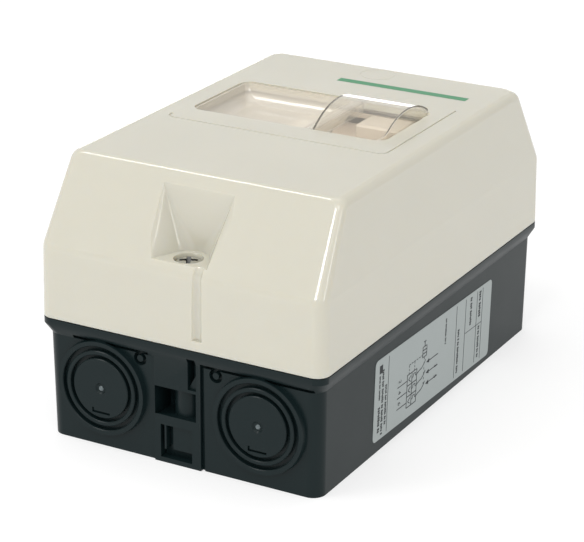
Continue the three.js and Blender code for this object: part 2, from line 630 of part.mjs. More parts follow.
function buildBase() {
  const wallTopZ = CHAMFER_FOOT_Z + 1;
  const [halfX, halfY] = BASE_HALF;
  const footHalf = [halfX - BASE_DRAFT, halfY - BASE_DRAFT];
  const tub = hull([
    ...roundedPoints(...footHalf, CORNER_RADIUS, 0),
    ...roundedPoints(halfX, halfY, CORNER_RADIUS, wallTopZ),
  ]);
  const lip = hull([
    ...roundedPoints(halfX, halfY, CORNER_RADIUS, CHAMFER_FOOT_Z),
    ...roundedPoints(WIDTH / 2, LENGTH / 2, CORNER_RADIUS, CHAMFER_TOP_Z),
    ...roundedPoints(WIDTH / 2, LENGTH / 2, CORNER_RADIUS, LIP_TOP_Z),
  ]);
  const inside = hull([
    ...roundedPoints(INNER_HALF[0] - BASE_DRAFT, INNER_HALF[1] - BASE_DRAFT, 2, FLOOR),
    ...roundedPoints(...INNER_HALF, 2, LIP_TOP_Z + 1),
  ]);
  const entries = centred(WIDTH / 2 - ENTRY_INSET).map(entryAt);
  const bosses = bothEnds(join(...entries.map((entry) => entry.boss)));
  const pillarY = [FRONT_WALL_Y + 1, FRONT_WALL_Y + PILLAR_DEPTH];
  const pillar = block(PILLAR_X, pillarY, [FLOOR - 1, CHAMFER_TOP_Z]);
  const post = rodZ(0, -SCREW_Y, FLOOR - 1, POST_TOP_Z, POST_RADIUS);
  const panel = block(PANEL_X, [FRONT_WALL_Y - PANEL_PROUD, FRONT_WALL_Y + 1], [0, wallTopZ]);
  const railX = grown([BREAKER_X, BREAKER_X], RAIL_LENGTH / 2);
  const rail = join(
    block(railX, centred(RAIL_NECK / 2), [FLOOR - 1, RAIL_TOP_Z]),
    block(railX, centred(RAIL_WIDTH / 2), [RAIL_TOP_Z - RAIL_LIP, RAIL_TOP_Z]),
  );
  const earthPost = block(grown([EARTH_X, EARTH_X], 4), centred(5), [FLOOR - 1, EARTH_FOOT_Z]);
  const shell = cut(
    join(tub, lip, bosses), inside, bothEnds(join(...entries.map((entry) => entry.backRecess))),
  );
  const solid = join(
    shell, bothEnds(join(pillar, post, panel, ...entries.map((entry) => entry.nub))),
    rail, earthPost,
  );
  const screwHole = rodZ(
    0, -SCREW_Y, HEAD_SEAT_Z - SCREW_LENGTH - 1, LIP_TOP_Z + 1, SCREW_SHANK_RADIUS + RUNNING_GAP,
  );
  const gasketGroove = perimeterRing(
    GASKET_GROOVE_INSET, GASKET_GROOVE_WIDTH, LIP_TOP_Z - GASKET_GROOVE_DEPTH, LIP_TOP_Z + 1,
  );
  const fixings = centred(WIDTH / 2 - FIXING_INSET[0]).flatMap((x) => (
    centred(LENGTH / 2 - FIXING_INSET[1]).map((y) => rodZ(x, y, -1, FLOOR + 1, FIXING_RADIUS))
  ));
  return cut(
    solid,
    bothEnds(join(screwHole, clipRecesses(), ...entries.map((entry) => entry.grooves))),
    gasketGroove, ...fixings,
  );
}

function buildGasket() {
  const inset = GASKET_GROOVE_INSET + RUNNING_GAP;
  const foot = LIP_TOP_Z - GASKET_GROOVE_DEPTH + RUNNING_GAP;
  return perimeterRing(inset, GASKET_GROOVE_WIDTH - 2 * RUNNING_GAP, foot, foot + GASKET_HEIGHT);
}

const EARTH_FOOT_Z = 9;
const EARTH_WIRE_RADIUS = 2.5;
const EARTH_WIRE_Z = EARTH_FOOT_Z + 4.3;
const TERMINAL_SHANK_RADIUS = 1.75;

function buildEarthClamp() {
  const foot = EARTH_FOOT_Z + RUNNING_GAP;
  const body = block(grown([EARTH_X, EARTH_X], 3.8), centred(4.6), [foot, foot + 10]);
  const screwHole = rodZ(
    EARTH_X, 0, EARTH_WIRE_Z, foot + 11, TERMINAL_SHANK_RADIUS + RUNNING_GAP, SMALL_SIDES,
  );
  return cut(body, rodY(EARTH_X, -6, 6, EARTH_WIRE_Z, EARTH_WIRE_RADIUS), screwHole);
}

// A slotted terminal screw: its tip at z0, the underside of its head at z1.
function terminalScrew(x, y, z0, z1) {
  const headTop = z1 + 2.4;
  const body = turned(x, y, [
    [0, z0], [TERMINAL_SHANK_RADIUS, z0], [TERMINAL_SHANK_RADIUS, z1],
    [3, z1], [3, headTop - 0.4], [2.6, headTop], [0, headTop],
  ], SMALL_SIDES);
  return cut(body, block([x - 4, x + 4], [y - 0.45, y + 0.45], [headTop - 1.2, headTop + 1]));
}

const buildEarthScrew = () => terminalScrew(
  EARTH_X, 0, EARTH_WIRE_Z + EARTH_WIRE_RADIUS, EARTH_FOOT_Z + 10 + 2 * RUNNING_GAP,
);

// ---------------------------------------------------------------- breaker housings
// Everything from here to the assembly stands in the breaker's own frame: X from the middle
// pole, Y along the poles with the line terminals at +Y, Z up from the top of the rail.

const HALF_WIDTH = (3 * POLE_PITCH - POLE_PARTITION) / 2 + SIDE_WALL;
const HALF_LENGTH = BREAKER_LENGTH / 2;
const BACK_Z = -(RAIL_TOP_Z - FLOOR) + 1.2; // breaker's back face
const TRAY_FLOOR_Z = 3;
const poles = [-POLE_PITCH, 0, POLE_PITCH];
const POLE_ROOM = (POLE_PITCH - POLE_PARTITION) / 2; // half the room between partitions
const NOSE_TOP = FRAME_Z - NOSE_TO_FRAME - RAIL_TOP_Z;
const DIAL_AT = [-POLE_PITCH, DIAL_Y];
const TEST_PIN_AT = [-POLE_PITCH, TEST_PIN_Y];
const RAIL_CLEAR_Y = RAIL_WIDTH / 2 + RUNNING_GAP;
const HOOK_REACH = 1.7; // how far hook and latch reach under the rail's lips
const HOOK_Z = [-RAIL_LIP - RUNNING_GAP - 1.7, -RAIL_LIP - RUNNING_GAP];
const LATCH_HALF_WIDTH = 6;
const LATCH_FOOT_Z = HOOK_Z[0] - 0.6;

const poleRoom = (y, z) => poles.map((x) => block([x - POLE_ROOM, x + POLE_ROOM], y, z));

function buildLowerHousing() {
  const body = block(centred(HALF_WIDTH), centred(HALF_LENGTH), [BACK_Z, LOWER_TOP]);
  const railRecess = block(
    centred(HALF_WIDTH + 1), centred(RAIL_CLEAR_Y), [BACK_Z - 1, RUNNING_GAP],
  );
  const hook = block(
    centred(HALF_WIDTH), [RAIL_CLEAR_Y - HOOK_REACH, RAIL_CLEAR_Y + 1], HOOK_Z,
  );
  const latchChannel = block(
    centred(LATCH_HALF_WIDTH + RUNNING_GAP), [-HALF_LENGTH - 1, -RAIL_CLEAR_Y + 1],
    [LATCH_FOOT_Z - RUNNING_GAP, HOOK_Z[1] + RUNNING_GAP],
  );
  const trays = poleRoom(centred(TERMINAL_ZONE_Y), [TRAY_FLOOR_Z, LOWER_TOP + 1]);
  return cut(join(cut(body, railRecess), hook), latchChannel, ...trays);
}

const PORT_HALF = POLE_ROOM - 1.65; // wire port half width
const PORT_Z = [LOWER_TOP + 1.9, 24];
const CAGE_HALF = POLE_ROOM - 0.45;
const CAGE_Z = [LOWER_TOP + RUNNING_GAP, 27.4];
const CAGE_HALF_LENGTH = 3.5;
const CAGE_ROOF = 1.9;
const SCREW_SEAT_Z = 33.5; // underside of a terminal screw's head
const BRIDGE_Z = [27, 29]; // cross member that carries the rocker's cheeks
const BRIDGE_Y = [ROCKER_Y - 3, ROCKER_Y + 3];
const CHEEKS_X = [[6.4, 7.9], [11.6, 13.1]];
const ROCKER_PIN_RADIUS = 1.2;
const SCREW_ACCESS_RADIUS = 3.4; // holes over the terminal screws
const TRIP_SHAFT_RADIUS = 1.5;
const TRIP_BEARING_DEPTH = 1.3; // blind bearing holes in the side walls
const LIFT_STEM = { x: [13, 16], y: [BRIDGE_Y[1] + 0.6, BRIDGE_Y[1] + 3.2] };
const GUIDE_ROOM = 0.35; // clearance round a cap or stem

function buildUpperHousing() {
  const z = [LOWER_TOP + RUNNING_GAP, UPPER_TOP];
  const inX = HALF_WIDTH - HOUSING_WALL;
  const roof = UPPER_TOP - HOUSING_WALL;
  const body = block(centred(HALF_WIDTH), centred(HALF_LENGTH), z);
  const middle = block(centred(inX), centred(TERMINAL_ZONE_Y), [z[0] - 1, roof]);
  const mouth = block(centred(inX), [NOSE_Y[0] + 2, NOSE_Y[1] - 2], [roof - 1, UPPER_TOP + 1]);
  const terminalRooms = [-1, 1].flatMap((side) => {
    const y = side > 0
      ? [TERMINAL_ZONE_Y - 1, HALF_LENGTH - HOUSING_WALL]
      : [-HALF_LENGTH + HOUSING_WALL, -TERMINAL_ZONE_Y + 1];
    return poleRoom(y, [z[0] - 1, roof]);
  });
  const ports = poles.map((x) => block(
    [x - PORT_HALF, x + PORT_HALF], centred(HALF_LENGTH + 1), PORT_Z,
  ));
  const screwHoles = poles.flatMap((x) => centred(TERMINAL_Y).map((y) => rodZ(
    x, y, roof - 1, UPPER_TOP + 1, SCREW_ACCESS_RADIUS, SMALL_SIDES,
  )));
  const bridge = block(centred(HALF_WIDTH - 1), BRIDGE_Y, BRIDGE_Z);
  const cheeks = CHEEKS_X.map((x) => block(x, BRIDGE_Y, [BRIDGE_Z[0], ROCKER_Z + 3]));
  const pinHole = rodX(
    CHEEKS_X[0][0] - 1, CHEEKS_X[1][1] + 1, ROCKER_Y, ROCKER_Z, ROCKER_PIN_RADIUS + RUNNING_GAP,
  );
  const liftRoom = block(
    grown(LIFT_STEM.x, RUNNING_GAP), grown(LIFT_STEM.y, RUNNING_GAP), [BRIDGE_Z[0] - 1, roof],
  );
  const tripBearings = rodX(
    ...centred(inX + TRIP_BEARING_DEPTH), TRIP_Y, TRIP_Z, TRIP_SHAFT_RADIUS + RUNNING_GAP,
  );
  const shell = cut(body, middle, mouth, ...terminalRooms, ...ports, ...screwHoles, tripBearings);
  return cut(join(shell, bridge, ...cheeks), pinHole, liftRoom);
}

const GUIDE_Z = [43, 44.6]; // shelf that guides the stems
const DIAL_RADIUS = 5.6;
const DIAL_SHAFT_RADIUS = 1.5;
const TEST_PIN_RADIUS = 1.5;

const clearBlock = (x, y, z) => block(grown(x, GUIDE_ROOM), grown(y, GUIDE_ROOM), z);

function buildNose() {
  const foot = UPPER_TOP + RUNNING_GAP;
  const top = NOSE_TOP - HOUSING_WALL;
  const outside = roundedBlock(centred(HALF_WIDTH), NOSE_Y, 1.2, foot, NOSE_TOP);
  const room = [foot - 1, top];
  const inside = block(
    centred(HALF_WIDTH - HOUSING_WALL), grown(NOSE_Y, -HOUSING_WALL), room,
  );
  const shelf = block(centred(HALF_WIDTH - 1), grown(NOSE_Y, -1), GUIDE_Z);
  const through = [top - 1, NOSE_TOP + 1];
  const shelfCut = [GUIDE_Z[0] - 1, GUIDE_Z[1] + 1];
  const [dialX, dialY] = DIAL_AT;
  const [pinX, pinY] = TEST_PIN_AT;
  return cut(
    join(cut(outside, inside), shelf),
    clearBlock(BUTTON_X, START_Y, through),
    clearBlock(BUTTON_X, STOP_Y, through),
    rodZ(dialX, dialY, ...through, DIAL_RADIUS + GUIDE_ROOM, 24),
    rodZ(dialX, dialY, ...shelfCut, DIAL_SHAFT_RADIUS + GUIDE_ROOM, SMALL_SIDES),
    rodZ(pinX, pinY, ...through, TEST_PIN_RADIUS + GUIDE_ROOM, SMALL_SIDES),
    rodZ(pinX, pinY, ...shelfCut, TEST_PIN_RADIUS + GUIDE_ROOM, SMALL_SIDES),
    ...[START_STEM, STOP_STEM, LIFT_STEM].map((stem) => clearBlock(stem.x, stem.y, shelfCut)),
  );
}

// ---------------------------------------------------------------- operating parts

const START_TOP_Z = NOSE_TOP + BUTTON_RISE; // raised: the breaker is off
const CAP_HEIGHT = 8.5;
const BUTTON_CROWN = 0.8;
const ROCKER_ARM = 8;
const ROCKER_HALF_THICKNESS = 1.5;
const CARRIER_TOP_Z = 26;
const LIFT_TOP_Z = 44;

function buttonCap(y, top) {
  const foot = roundedPoints(
    (BUTTON_X[1] - BUTTON_X[0]) / 2, (y[1] - y[0]) / 2, 1, top - CAP_HEIGHT,
    [(BUTTON_X[0] + BUTTON_X[1]) / 2, (y[0] + y[1]) / 2],
  );
  const rise = (points, z, inset) => points.map((point) => new THREE.Vector3(
    THREE.MathUtils.clamp(point.x, BUTTON_X[0] + inset, BUTTON_X[1] - inset),
    THREE.MathUtils.clamp(point.y, y[0] + inset, y[1] - inset),
    z,
  ));
  return hull([...foot, ...rise(foot, top - BUTTON_CROWN, 0), ...rise(foot, top, BUTTON_CROWN)]);
}

const stemBlock = (stem, z) => block(stem.x, stem.y, z);
const rockerTopAt = (side) => {
  const tilt = THREE.MathUtils.degToRad(ROCKER_TILT_DEG);
  return ROCKER_Z + side * ROCKER_ARM * Math.sin(tilt) + ROCKER_HALF_THICKNESS / Math.cos(tilt);
};

// The start button stands raised and the stop button lies low while the breaker is off.
function buildStartButton() {
  const underside = START_TOP_Z - CAP_HEIGHT;
  return join(
    buttonCap(START_Y, START_TOP_Z),
    stemBlock(START_STEM, [rockerTopAt(1) + 2 * RUNNING_GAP, underside + 1]),
    stemBlock(LIFT_STEM, [LIFT_TOP_Z + RUNNING_GAP, underside + 1]),
  );
}

function buildStopButton() {
  const top = START_TOP_Z - BUTTON_TRAVEL;
  return join(
    buttonCap(STOP_Y, top),
    stemBlock(STOP_STEM, [rockerTopAt(-1) + 2 * RUNNING_GAP, top - CAP_HEIGHT + 1]),
  );
}

// Round-wire compression spring standing on z0, its middle on (x, y).
function compressionSpring(x, y, z0, z1, radius, wire, turns) {
  const length = z1 - z0 - 2 * wire;
  const helix = new THREE.Curve();
  helix.getPoint = (t, target = new THREE.Vector3()) => target.set(
    x + radius * Math.cos(2 * Math.PI * turns * t),
    y + radius * Math.sin(2 * Math.PI * turns * t),
    z0 + wire + length * t,
  );
  const section = new THREE.Shape();
  section.absarc(0, 0, wire, 0, 2 * Math.PI);
  return toSolid(new THREE.ExtrudeGeometry(section, {
    steps: turns * 9, curveSegments: 2, extrudePath: helix, bevelEnabled: false,
  }));
}

const buildStartSpring = () => compressionSpring(
  (START_STEM.x[0] + START_STEM.x[1]) / 2, (START_STEM.y[0] + START_STEM.y[1]) / 2,
  GUIDE_Z[1] + RUNNING_GAP, START_TOP_Z - CAP_HEIGHT - RUNNING_GAP, 3, 0.35, 5,
);

// Two-armed rocker between the buttons, with its own pivot pins.
function buildRocker() {
  const [inner, outer] = [CHEEKS_X[0][1] + RUNNING_GAP, CHEEKS_X[1][0] - RUNNING_GAP];
  const geometry = new THREE.BoxGeometry(
    outer - inner, 2 * ROCKER_ARM + 3, 2 * ROCKER_HALF_THICKNESS,
  );
  geometry.rotateX(THREE.MathUtils.degToRad(ROCKER_TILT_DEG));
  geometry.translate((inner + outer) / 2, ROCKER_Y, ROCKER_Z);
  const pins = rodX(CHEEKS_X[0][0], CHEEKS_X[1][1], ROCKER_Y, ROCKER_Z, ROCKER_PIN_RADIUS);
  return join(toSolid(geometry), pins);
}

function buildDial() {
  const [x, y] = DIAL_AT;
  const top = NOSE_TOP + 1.2;
  const body = turned(x, y, [
    [0, GUIDE_Z[0] - 0.5], [DIAL_SHAFT_RADIUS, GUIDE_Z[0] - 0.5],
    [DIAL_SHAFT_RADIUS, NOSE_TOP - 1.6], [DIAL_RADIUS, NOSE_TOP - 1.6],
    [DIAL_RADIUS, top - 0.4], [DIAL_RADIUS - 0.4, top], [0, top],
  ], 24);
  const slot = [top - 1.1, top + 1];
  const pointer = prism("xy", [
    [x - 0.6, y], [x + 0.6, y], [x + 0.6, y + 3.4], [x, y + 4.8], [x - 0.6, y + 3.4],
  ], ...slot);
  return cut(body, block([x - 0.6, x + 0.6], [y - 4, y + 0.1], slot), pointer);
}

const TEST_ARM_TOP_Z = TRIP_Z + 1.5;

function buildTestPin() {
  const [x, y] = TEST_PIN_AT;
  const top = NOSE_TOP + 0.9;
  const body = turned(x, y, [
    [0, TEST_ARM_TOP_Z + RUNNING_GAP], [TEST_PIN_RADIUS, TEST_ARM_TOP_Z + RUNNING_GAP],
    [TEST_PIN_RADIUS, top], [0, top],
  ], SMALL_SIDES);
  return cut(body, block([x - 2, x + 2], [y - 0.3, y + 0.3], [top - 0.7, top + 1]));
}

// Latch that holds the breaker on the rail; its pull loop stands out at the load end.
function buildLatch() {
  const inner = -(RAIL_CLEAR_Y - HOOK_REACH);
  const outer = -HALF_LENGTH - 3;
  const z = [LATCH_FOOT_Z, HOOK_Z[1]];
  const plate = block(centred(LATCH_HALF_WIDTH), [outer, inner], z);
  const loop = block(centred(2.5), [outer + 1.2, outer + 2.8], [z[0] - 1, z[1] + 1]);
  const flexures = [-1, 1].map((side) => block(
    side > 0 ? [2.2, 4.2] : [-4.2, -2.2], [-36, -22], [z[0] - 1, z[1] + 1],
  ));
  return cut(plate, loop, ...flexures);
}

// Contact bridge of one pole, and its place while the contacts are open.
const MOVING_Y = [3, 18];
const TIP_Y = [5.5, 15.5];
const TIP_RADIUS = 2;
const TIP_HEIGHT = 1; // contact tip above or below its bar
const MOVING_FOOT_Z = CONTACT_LEVEL + 2 * TIP_HEIGHT + BUTTON_TRAVEL + RUNNING_GAP;
const MOVING_Z = [MOVING_FOOT_Z, MOVING_FOOT_Z + BAR]; // contacts open

const STIRRUP_Y = [9, 12];
const STIRRUP_WALL = 1.2;
const BEAM_HEIGHT = 4;

// Cross beam with one stirrup round each pole's contact bridge, and the arm that the start
// button pushes down.
function buildCarrier() {
  const beamZ = [CARRIER_TOP_Z - BEAM_HEIGHT, CARRIER_TOP_Z];
  const openingHalf = BAR_HALF + RUNNING_GAP;
  const stirrupHalf = openingHalf + STIRRUP_WALL;
  const openingZ = grown(MOVING_Z, RUNNING_GAP);
  const beam = block(centred(POLE_PITCH + stirrupHalf), grown(STIRRUP_Y, 0.8), beamZ);
  const stirrups = poles.map((x) => block(
    [x - stirrupHalf, x + stirrupHalf], STIRRUP_Y, [openingZ[0] - STIRRUP_WALL, beamZ[0] + 1],
  ));
  const openings = poles.map((x) => block(
    [x - openingHalf, x + openingHalf], grown(STIRRUP_Y, 1), openingZ,
  ));
  const foot = block(LIFT_STEM.x, [STIRRUP_Y[1], LIFT_STEM.y[1]], beamZ);
  const arm = stemBlock(LIFT_STEM, [beamZ[0], LIFT_TOP_Z]);
  return cut(join(beam, ...stirrups, foot, arm), ...openings);
}

function buildMovingContact() {
  const bar = block(centred(BAR_HALF), MOVING_Y, MOVING_Z);
  const tips = TIP_Y.map((y) => rodZ(0, y, MOVING_Z[0] - 1, MOVING_Z[0] + 0.5, TIP_RADIUS, SMALL_SIDES));
  return join(bar, ...tips);
}

// ---------------------------------------------------------------- current path of one pole

const TERMINAL_BAR_Z = PORT_Z[1] + BAR; // top of a bar inside its clamp
const RISER_Y = TERMINAL_ZONE_Y - 1 - BAR;

// A copper bar: a level stretch in the clamp, a riser, and a level stretch at `level`
// that ends at `innerY`.
function steppedBar(side, level, innerY, riserY) {
  const far = side * (TERMINAL_Y + 2.8);
  const near = side * (riserY + BAR);
  const outline = [
    [far, TERMINAL_BAR_Z - BAR], [far, TERMINAL_BAR_Z], [side * riserY, TERMINAL_BAR_Z],
    [side * riserY, level], [innerY, level], [innerY, level - BAR],
    [near, level - BAR], [near, TERMINAL_BAR_Z - BAR],
  ];
  return prism("yz", side > 0 ? outline : outline.reverse(), ...centred(BAR_HALF));
}

function buildLineContact() {
  const tip = rodZ(0, TIP_Y[1], CONTACT_LEVEL - 0.5, CONTACT_LEVEL + 1, TIP_RADIUS, SMALL_SIDES);
  return join(steppedBar(1, CONTACT_LEVEL, TIP_Y[1] - TIP_RADIUS, RISER_Y), tip);
}

const COIL_RADIUS = 4.2;
const COIL_BORE = 1.9;
const COIL_TOP_Z = 17.3;
const COIL_TURNS = 4;
const COIL_WIRE_DEPTH = 0.8; // grooves between the turns
const PLUNGER_RADIUS = COIL_BORE - RUNNING_GAP;
const PLUNGER_TOP_Z = TRIP_Z - 5.5;

function buildLoadContact() {
  const end = COIL_Y + COIL_RADIUS + RUNNING_GAP;
  const z = CONTACT_LEVEL;
  const foot = TRAY_FLOOR_Z + RUNNING_GAP;
  const bar = prism("yz", [
    [TIP_Y[0] + TIP_RADIUS, z - BAR], [TIP_Y[0] + TIP_RADIUS, z], [end, z],
    [end, foot], [end + BAR, foot], [end + BAR, z - BAR],
  ], ...centred(BAR_HALF));
  return join(bar, rodZ(0, TIP_Y[0], z - 0.5, z + 1, TIP_RADIUS, SMALL_SIDES));
}

const buildLoadTerminalBar = () => steppedBar(
  -1, TRAY_FLOOR_Z + RUNNING_GAP + BAR, BIMETAL_Y - 1, RISER_Y,
);

// Magnetic trip coil: a wound former with its bore along Z.
function buildCoil() {
  const foot = TRAY_FLOOR_Z + RUNNING_GAP;
  const pitch = (COIL_TOP_Z - foot) / COIL_TURNS;
  const profile = [[COIL_BORE, foot]];
  for (let turn = 0; turn < COIL_TURNS; turn += 1) {
    const z = foot + turn * pitch;
    profile.push([COIL_RADIUS - COIL_WIRE_DEPTH, z], [COIL_RADIUS, z + pitch / 2]);
  }
  profile.push([COIL_RADIUS - COIL_WIRE_DEPTH, COIL_TOP_Z], [COIL_BORE, COIL_TOP_Z]);
  return turned(0, COIL_Y, profile, SMALL_SIDES);
}

const buildPlunger = () => turned(0, COIL_Y, [
  [0, TRAY_FLOOR_Z + 3], [PLUNGER_RADIUS, TRAY_FLOOR_Z + 3],
  [PLUNGER_RADIUS, COIL_TOP_Z - 1], [1, COIL_TOP_Z - 0.4],
  [1, PLUNGER_TOP_Z], [0, PLUNGER_TOP_Z],
], SMALL_SIDES);

// Bimetal strip with its foot bent to the coil.
function buildBimetal() {
  const foot = TRAY_FLOOR_Z + RUNNING_GAP;
  const coilEdge = COIL_Y - COIL_RADIUS - RUNNING_GAP;
  return prism("yz", [
    [BIMETAL_Y - 0.4, foot], [coilEdge, foot], [coilEdge, foot + 1],
    [BIMETAL_Y + 0.4, foot + 1], [BIMETAL_Y + 0.4, TRIP_Z + 0.5], [BIMETAL_Y - 0.4, TRIP_Z + 0.5],
  ], ...centred(BAR_HALF + 0.5));
}

// Arc chute: five level plates held by a back plate and open towards the contacts.
function buildArcChute() {
  const y = [MOVING_Y[1] + 1.5, RISER_Y - RUNNING_GAP];
  const foot = CONTACT_LEVEL + RUNNING_GAP;
  const pitch = 1.9;
  const width = centred(POLE_ROOM - 1);
  const back = block(width, [y[1] - 1, y[1]], [foot, foot + 4 * pitch + 1]);
  const plates = Array.from({ length: 5 }, (_, index) => block(
    width, y, [foot + index * pitch, foot + index * pitch + 1],
  ));
  return join(back, ...plates);
}

function buildClamp(side) {
  const y = grown([side * TERMINAL_Y, side * TERMINAL_Y], CAGE_HALF_LENGTH);
  const cage = block(centred(CAGE_HALF), y, CAGE_Z);
  const room = block(
    centred(PORT_HALF), grown(y, 1), [CAGE_Z[0] + 1.3, CAGE_Z[1] - CAGE_ROOF],
  );
  return cut(cage, room, rodZ(
    0, side * TERMINAL_Y, CAGE_Z[1] - CAGE_ROOF - 1, CAGE_Z[1] + 1,
    TERMINAL_SHANK_RADIUS + RUNNING_GAP, SMALL_SIDES,
  ));
}

const buildTerminalScrew = (side) => terminalScrew(
  0, side * TERMINAL_Y, TERMINAL_BAR_Z + RUNNING_GAP, SCREW_SEAT_Z,
);

// ---------------------------------------------------------------- trip bar

const FINGER_REACH = 8;

function buildTripBar() {
  const bearingHalf = HALF_WIDTH - HOUSING_WALL + TRIP_BEARING_DEPTH;
  const shaft = rodX(...centred(bearingHalf - RUNNING_GAP), TRIP_Y, TRIP_Z, TRIP_SHAFT_RADIUS);
  const fingers = poles.map((x) => block(
    [x - 1.5, x + 1.5], [TRIP_Y, TRIP_Y + FINGER_REACH], [TRIP_Z - 2.3, TRIP_Z - 1],
  ));
  const arms = poles.map((x) => block(
    [x - 1.5, x + 1.5], [TRIP_Y - 0.8, TRIP_Y + 0.8], [TRIP_Z - 7, TRIP_Z],
  ));
  const pads = poles.map((x) => block(
    [x - 1.5, x + 1.5], [BIMETAL_Y + 1.4, TRIP_Y], [TRIP_Z - 7, TRIP_Z - 5.2],
  ));
  const [pinX, pinY] = TEST_PIN_AT;
  const testArm = block([pinX - 1.5, pinX + 1.5], [pinY - 1, TRIP_Y], [TRIP_Z, TEST_ARM_TOP_Z]);
  return join(shaft, ...fingers, ...arms, ...pads, testArm);
}

// ---------------------------------------------------------------- assembly

const plastic = (color, roughness) => new THREE.MeshStandardMaterial({ color, roughness, metalness: 0 });
const metal = (color, roughness) => new THREE.MeshStandardMaterial({ color, roughness, metalness: 1 });

const CREAM = plastic("#dedbcd", 0.35);
const ANTHRACITE = plastic("#2f383a", 0.6);
const HOUSING_GREY = plastic("#4a4e50", 0.65);
const NOSE_BEIGE = plastic("#c3b8a4", 0.5);
const BUTTON_IVORY = plastic("#cfc6b4", 0.45);
const MECHANISM_WHITE = plastic("#d8d6cf", 0.5);
const SEAL_BLACK = plastic("#1c1c1c", 0.9);
const CLEAR = new THREE.MeshStandardMaterial({
  color: "#f4f4f0", roughness: 0.1, metalness: 0, transparent: true, opacity: 0.35,
});
const ZINC = metal("#c9cbcc", 0.35);
const COPPER = metal("#b4704a", 0.35);
const STEEL = metal("#8d9092", 0.4);

function mesh(name, solid, material) {
  const result = new THREE.Mesh(toGeometry(solid), material);
  result.name = name;
  return result;
}

function buildEnclosure() {
  const group = new THREE.Group();
  group.add(
    mesh("base_box", buildBase(), ANTHRACITE),
    mesh("cover", buildCover(), CREAM),
    mesh("cover_gasket", buildGasket(), SEAL_BLACK),
    mesh("window_membrane", buildMembrane(), CLEAR),
    mesh("window_retaining_frame", buildRetainingFrame(), NOSE_BEIGE),
    mesh("earth_terminal_clamp", buildEarthClamp(), ZINC),
    mesh("earth_terminal_screw", buildEarthScrew(), ZINC),
  );
  for (const [end, y] of [["front", -SCREW_Y], ["rear", SCREW_Y]]) {
    const screw = mesh(`cover_screw_${end}`, buildCoverScrew(), ZINC);
    const ring = mesh(`screw_retaining_ring_${end}`, buildRetainingRing(), MECHANISM_WHITE);
    screw.position.y = y;
    ring.position.y = y;
    group.add(screw, ring);
  }
  return group;
}

function buildPole(number) {
  const pole = new THREE.Group();
  pole.position.x = poles[number - 1];
  pole.add(
    mesh(`fixed_contact_line_${number}`, buildLineContact(), COPPER),
    mesh(`fixed_contact_load_${number}`, buildLoadContact(), COPPER),
    mesh(`moving_contact_${number}`, buildMovingContact(), COPPER),
    mesh(`load_terminal_bar_${number}`, buildLoadTerminalBar(), COPPER),
    mesh(`magnetic_coil_${number}`, buildCoil(), COPPER),
    mesh(`magnetic_plunger_${number}`, buildPlunger(), STEEL),
    mesh(`bimetal_${number}`, buildBimetal(), STEEL),
    mesh(`arc_chute_${number}`, buildArcChute(), STEEL),
  );
  for (const [end, side] of [["line", 1], ["load", -1]]) {
    pole.add(
      mesh(`terminal_clamp_${end}_${number}`, buildClamp(side), ZINC),
      mesh(`terminal_screw_${end}_${number}`, buildTerminalScrew(side), ZINC),
    );
  }
  return pole;
}

function buildBreaker() {
  const breaker = new THREE.Group();
  breaker.position.set(BREAKER_X, 0, RAIL_TOP_Z);
  breaker.add(
    mesh("breaker_lower_housing", buildLowerHousing(), HOUSING_GREY),
    mesh("breaker_upper_housing", buildUpperHousing(), HOUSING_GREY),
    mesh("breaker_front_nose", buildNose(), NOSE_BEIGE),
    mesh("start_button", buildStartButton(), BUTTON_IVORY),
    mesh("stop_button", buildStopButton(), BUTTON_IVORY),
    mesh("start_button_spring", buildStartSpring(), STEEL),
    mesh("button_rocker", buildRocker(), MECHANISM_WHITE),
    mesh("setting_dial", buildDial(), MECHANISM_WHITE),
    mesh("trip_test_pin", buildTestPin(), MECHANISM_WHITE),
    mesh("din_rail_latch", buildLatch(), MECHANISM_WHITE),
    mesh("contact_carrier", buildCarrier(), MECHANISM_WHITE),
    mesh("trip_bar", buildTripBar(), MECHANISM_WHITE),
    ...poles.map((_, index) => buildPole(index + 1)),
  );
  return breaker;
}

const assembly = new THREE.Group();
assembly.add(buildEnclosure(), buildBreaker());

export default assembly;
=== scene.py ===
"""Looks of an enclosed motor protection breaker: smooth shells, clear window, label and finishes.

Shapes are written in millimetres and scaled to metres when a mesh is made. The frame is the
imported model's: +X across, +Y along towards the line terminals, +Z out from the wall.
"""

import math

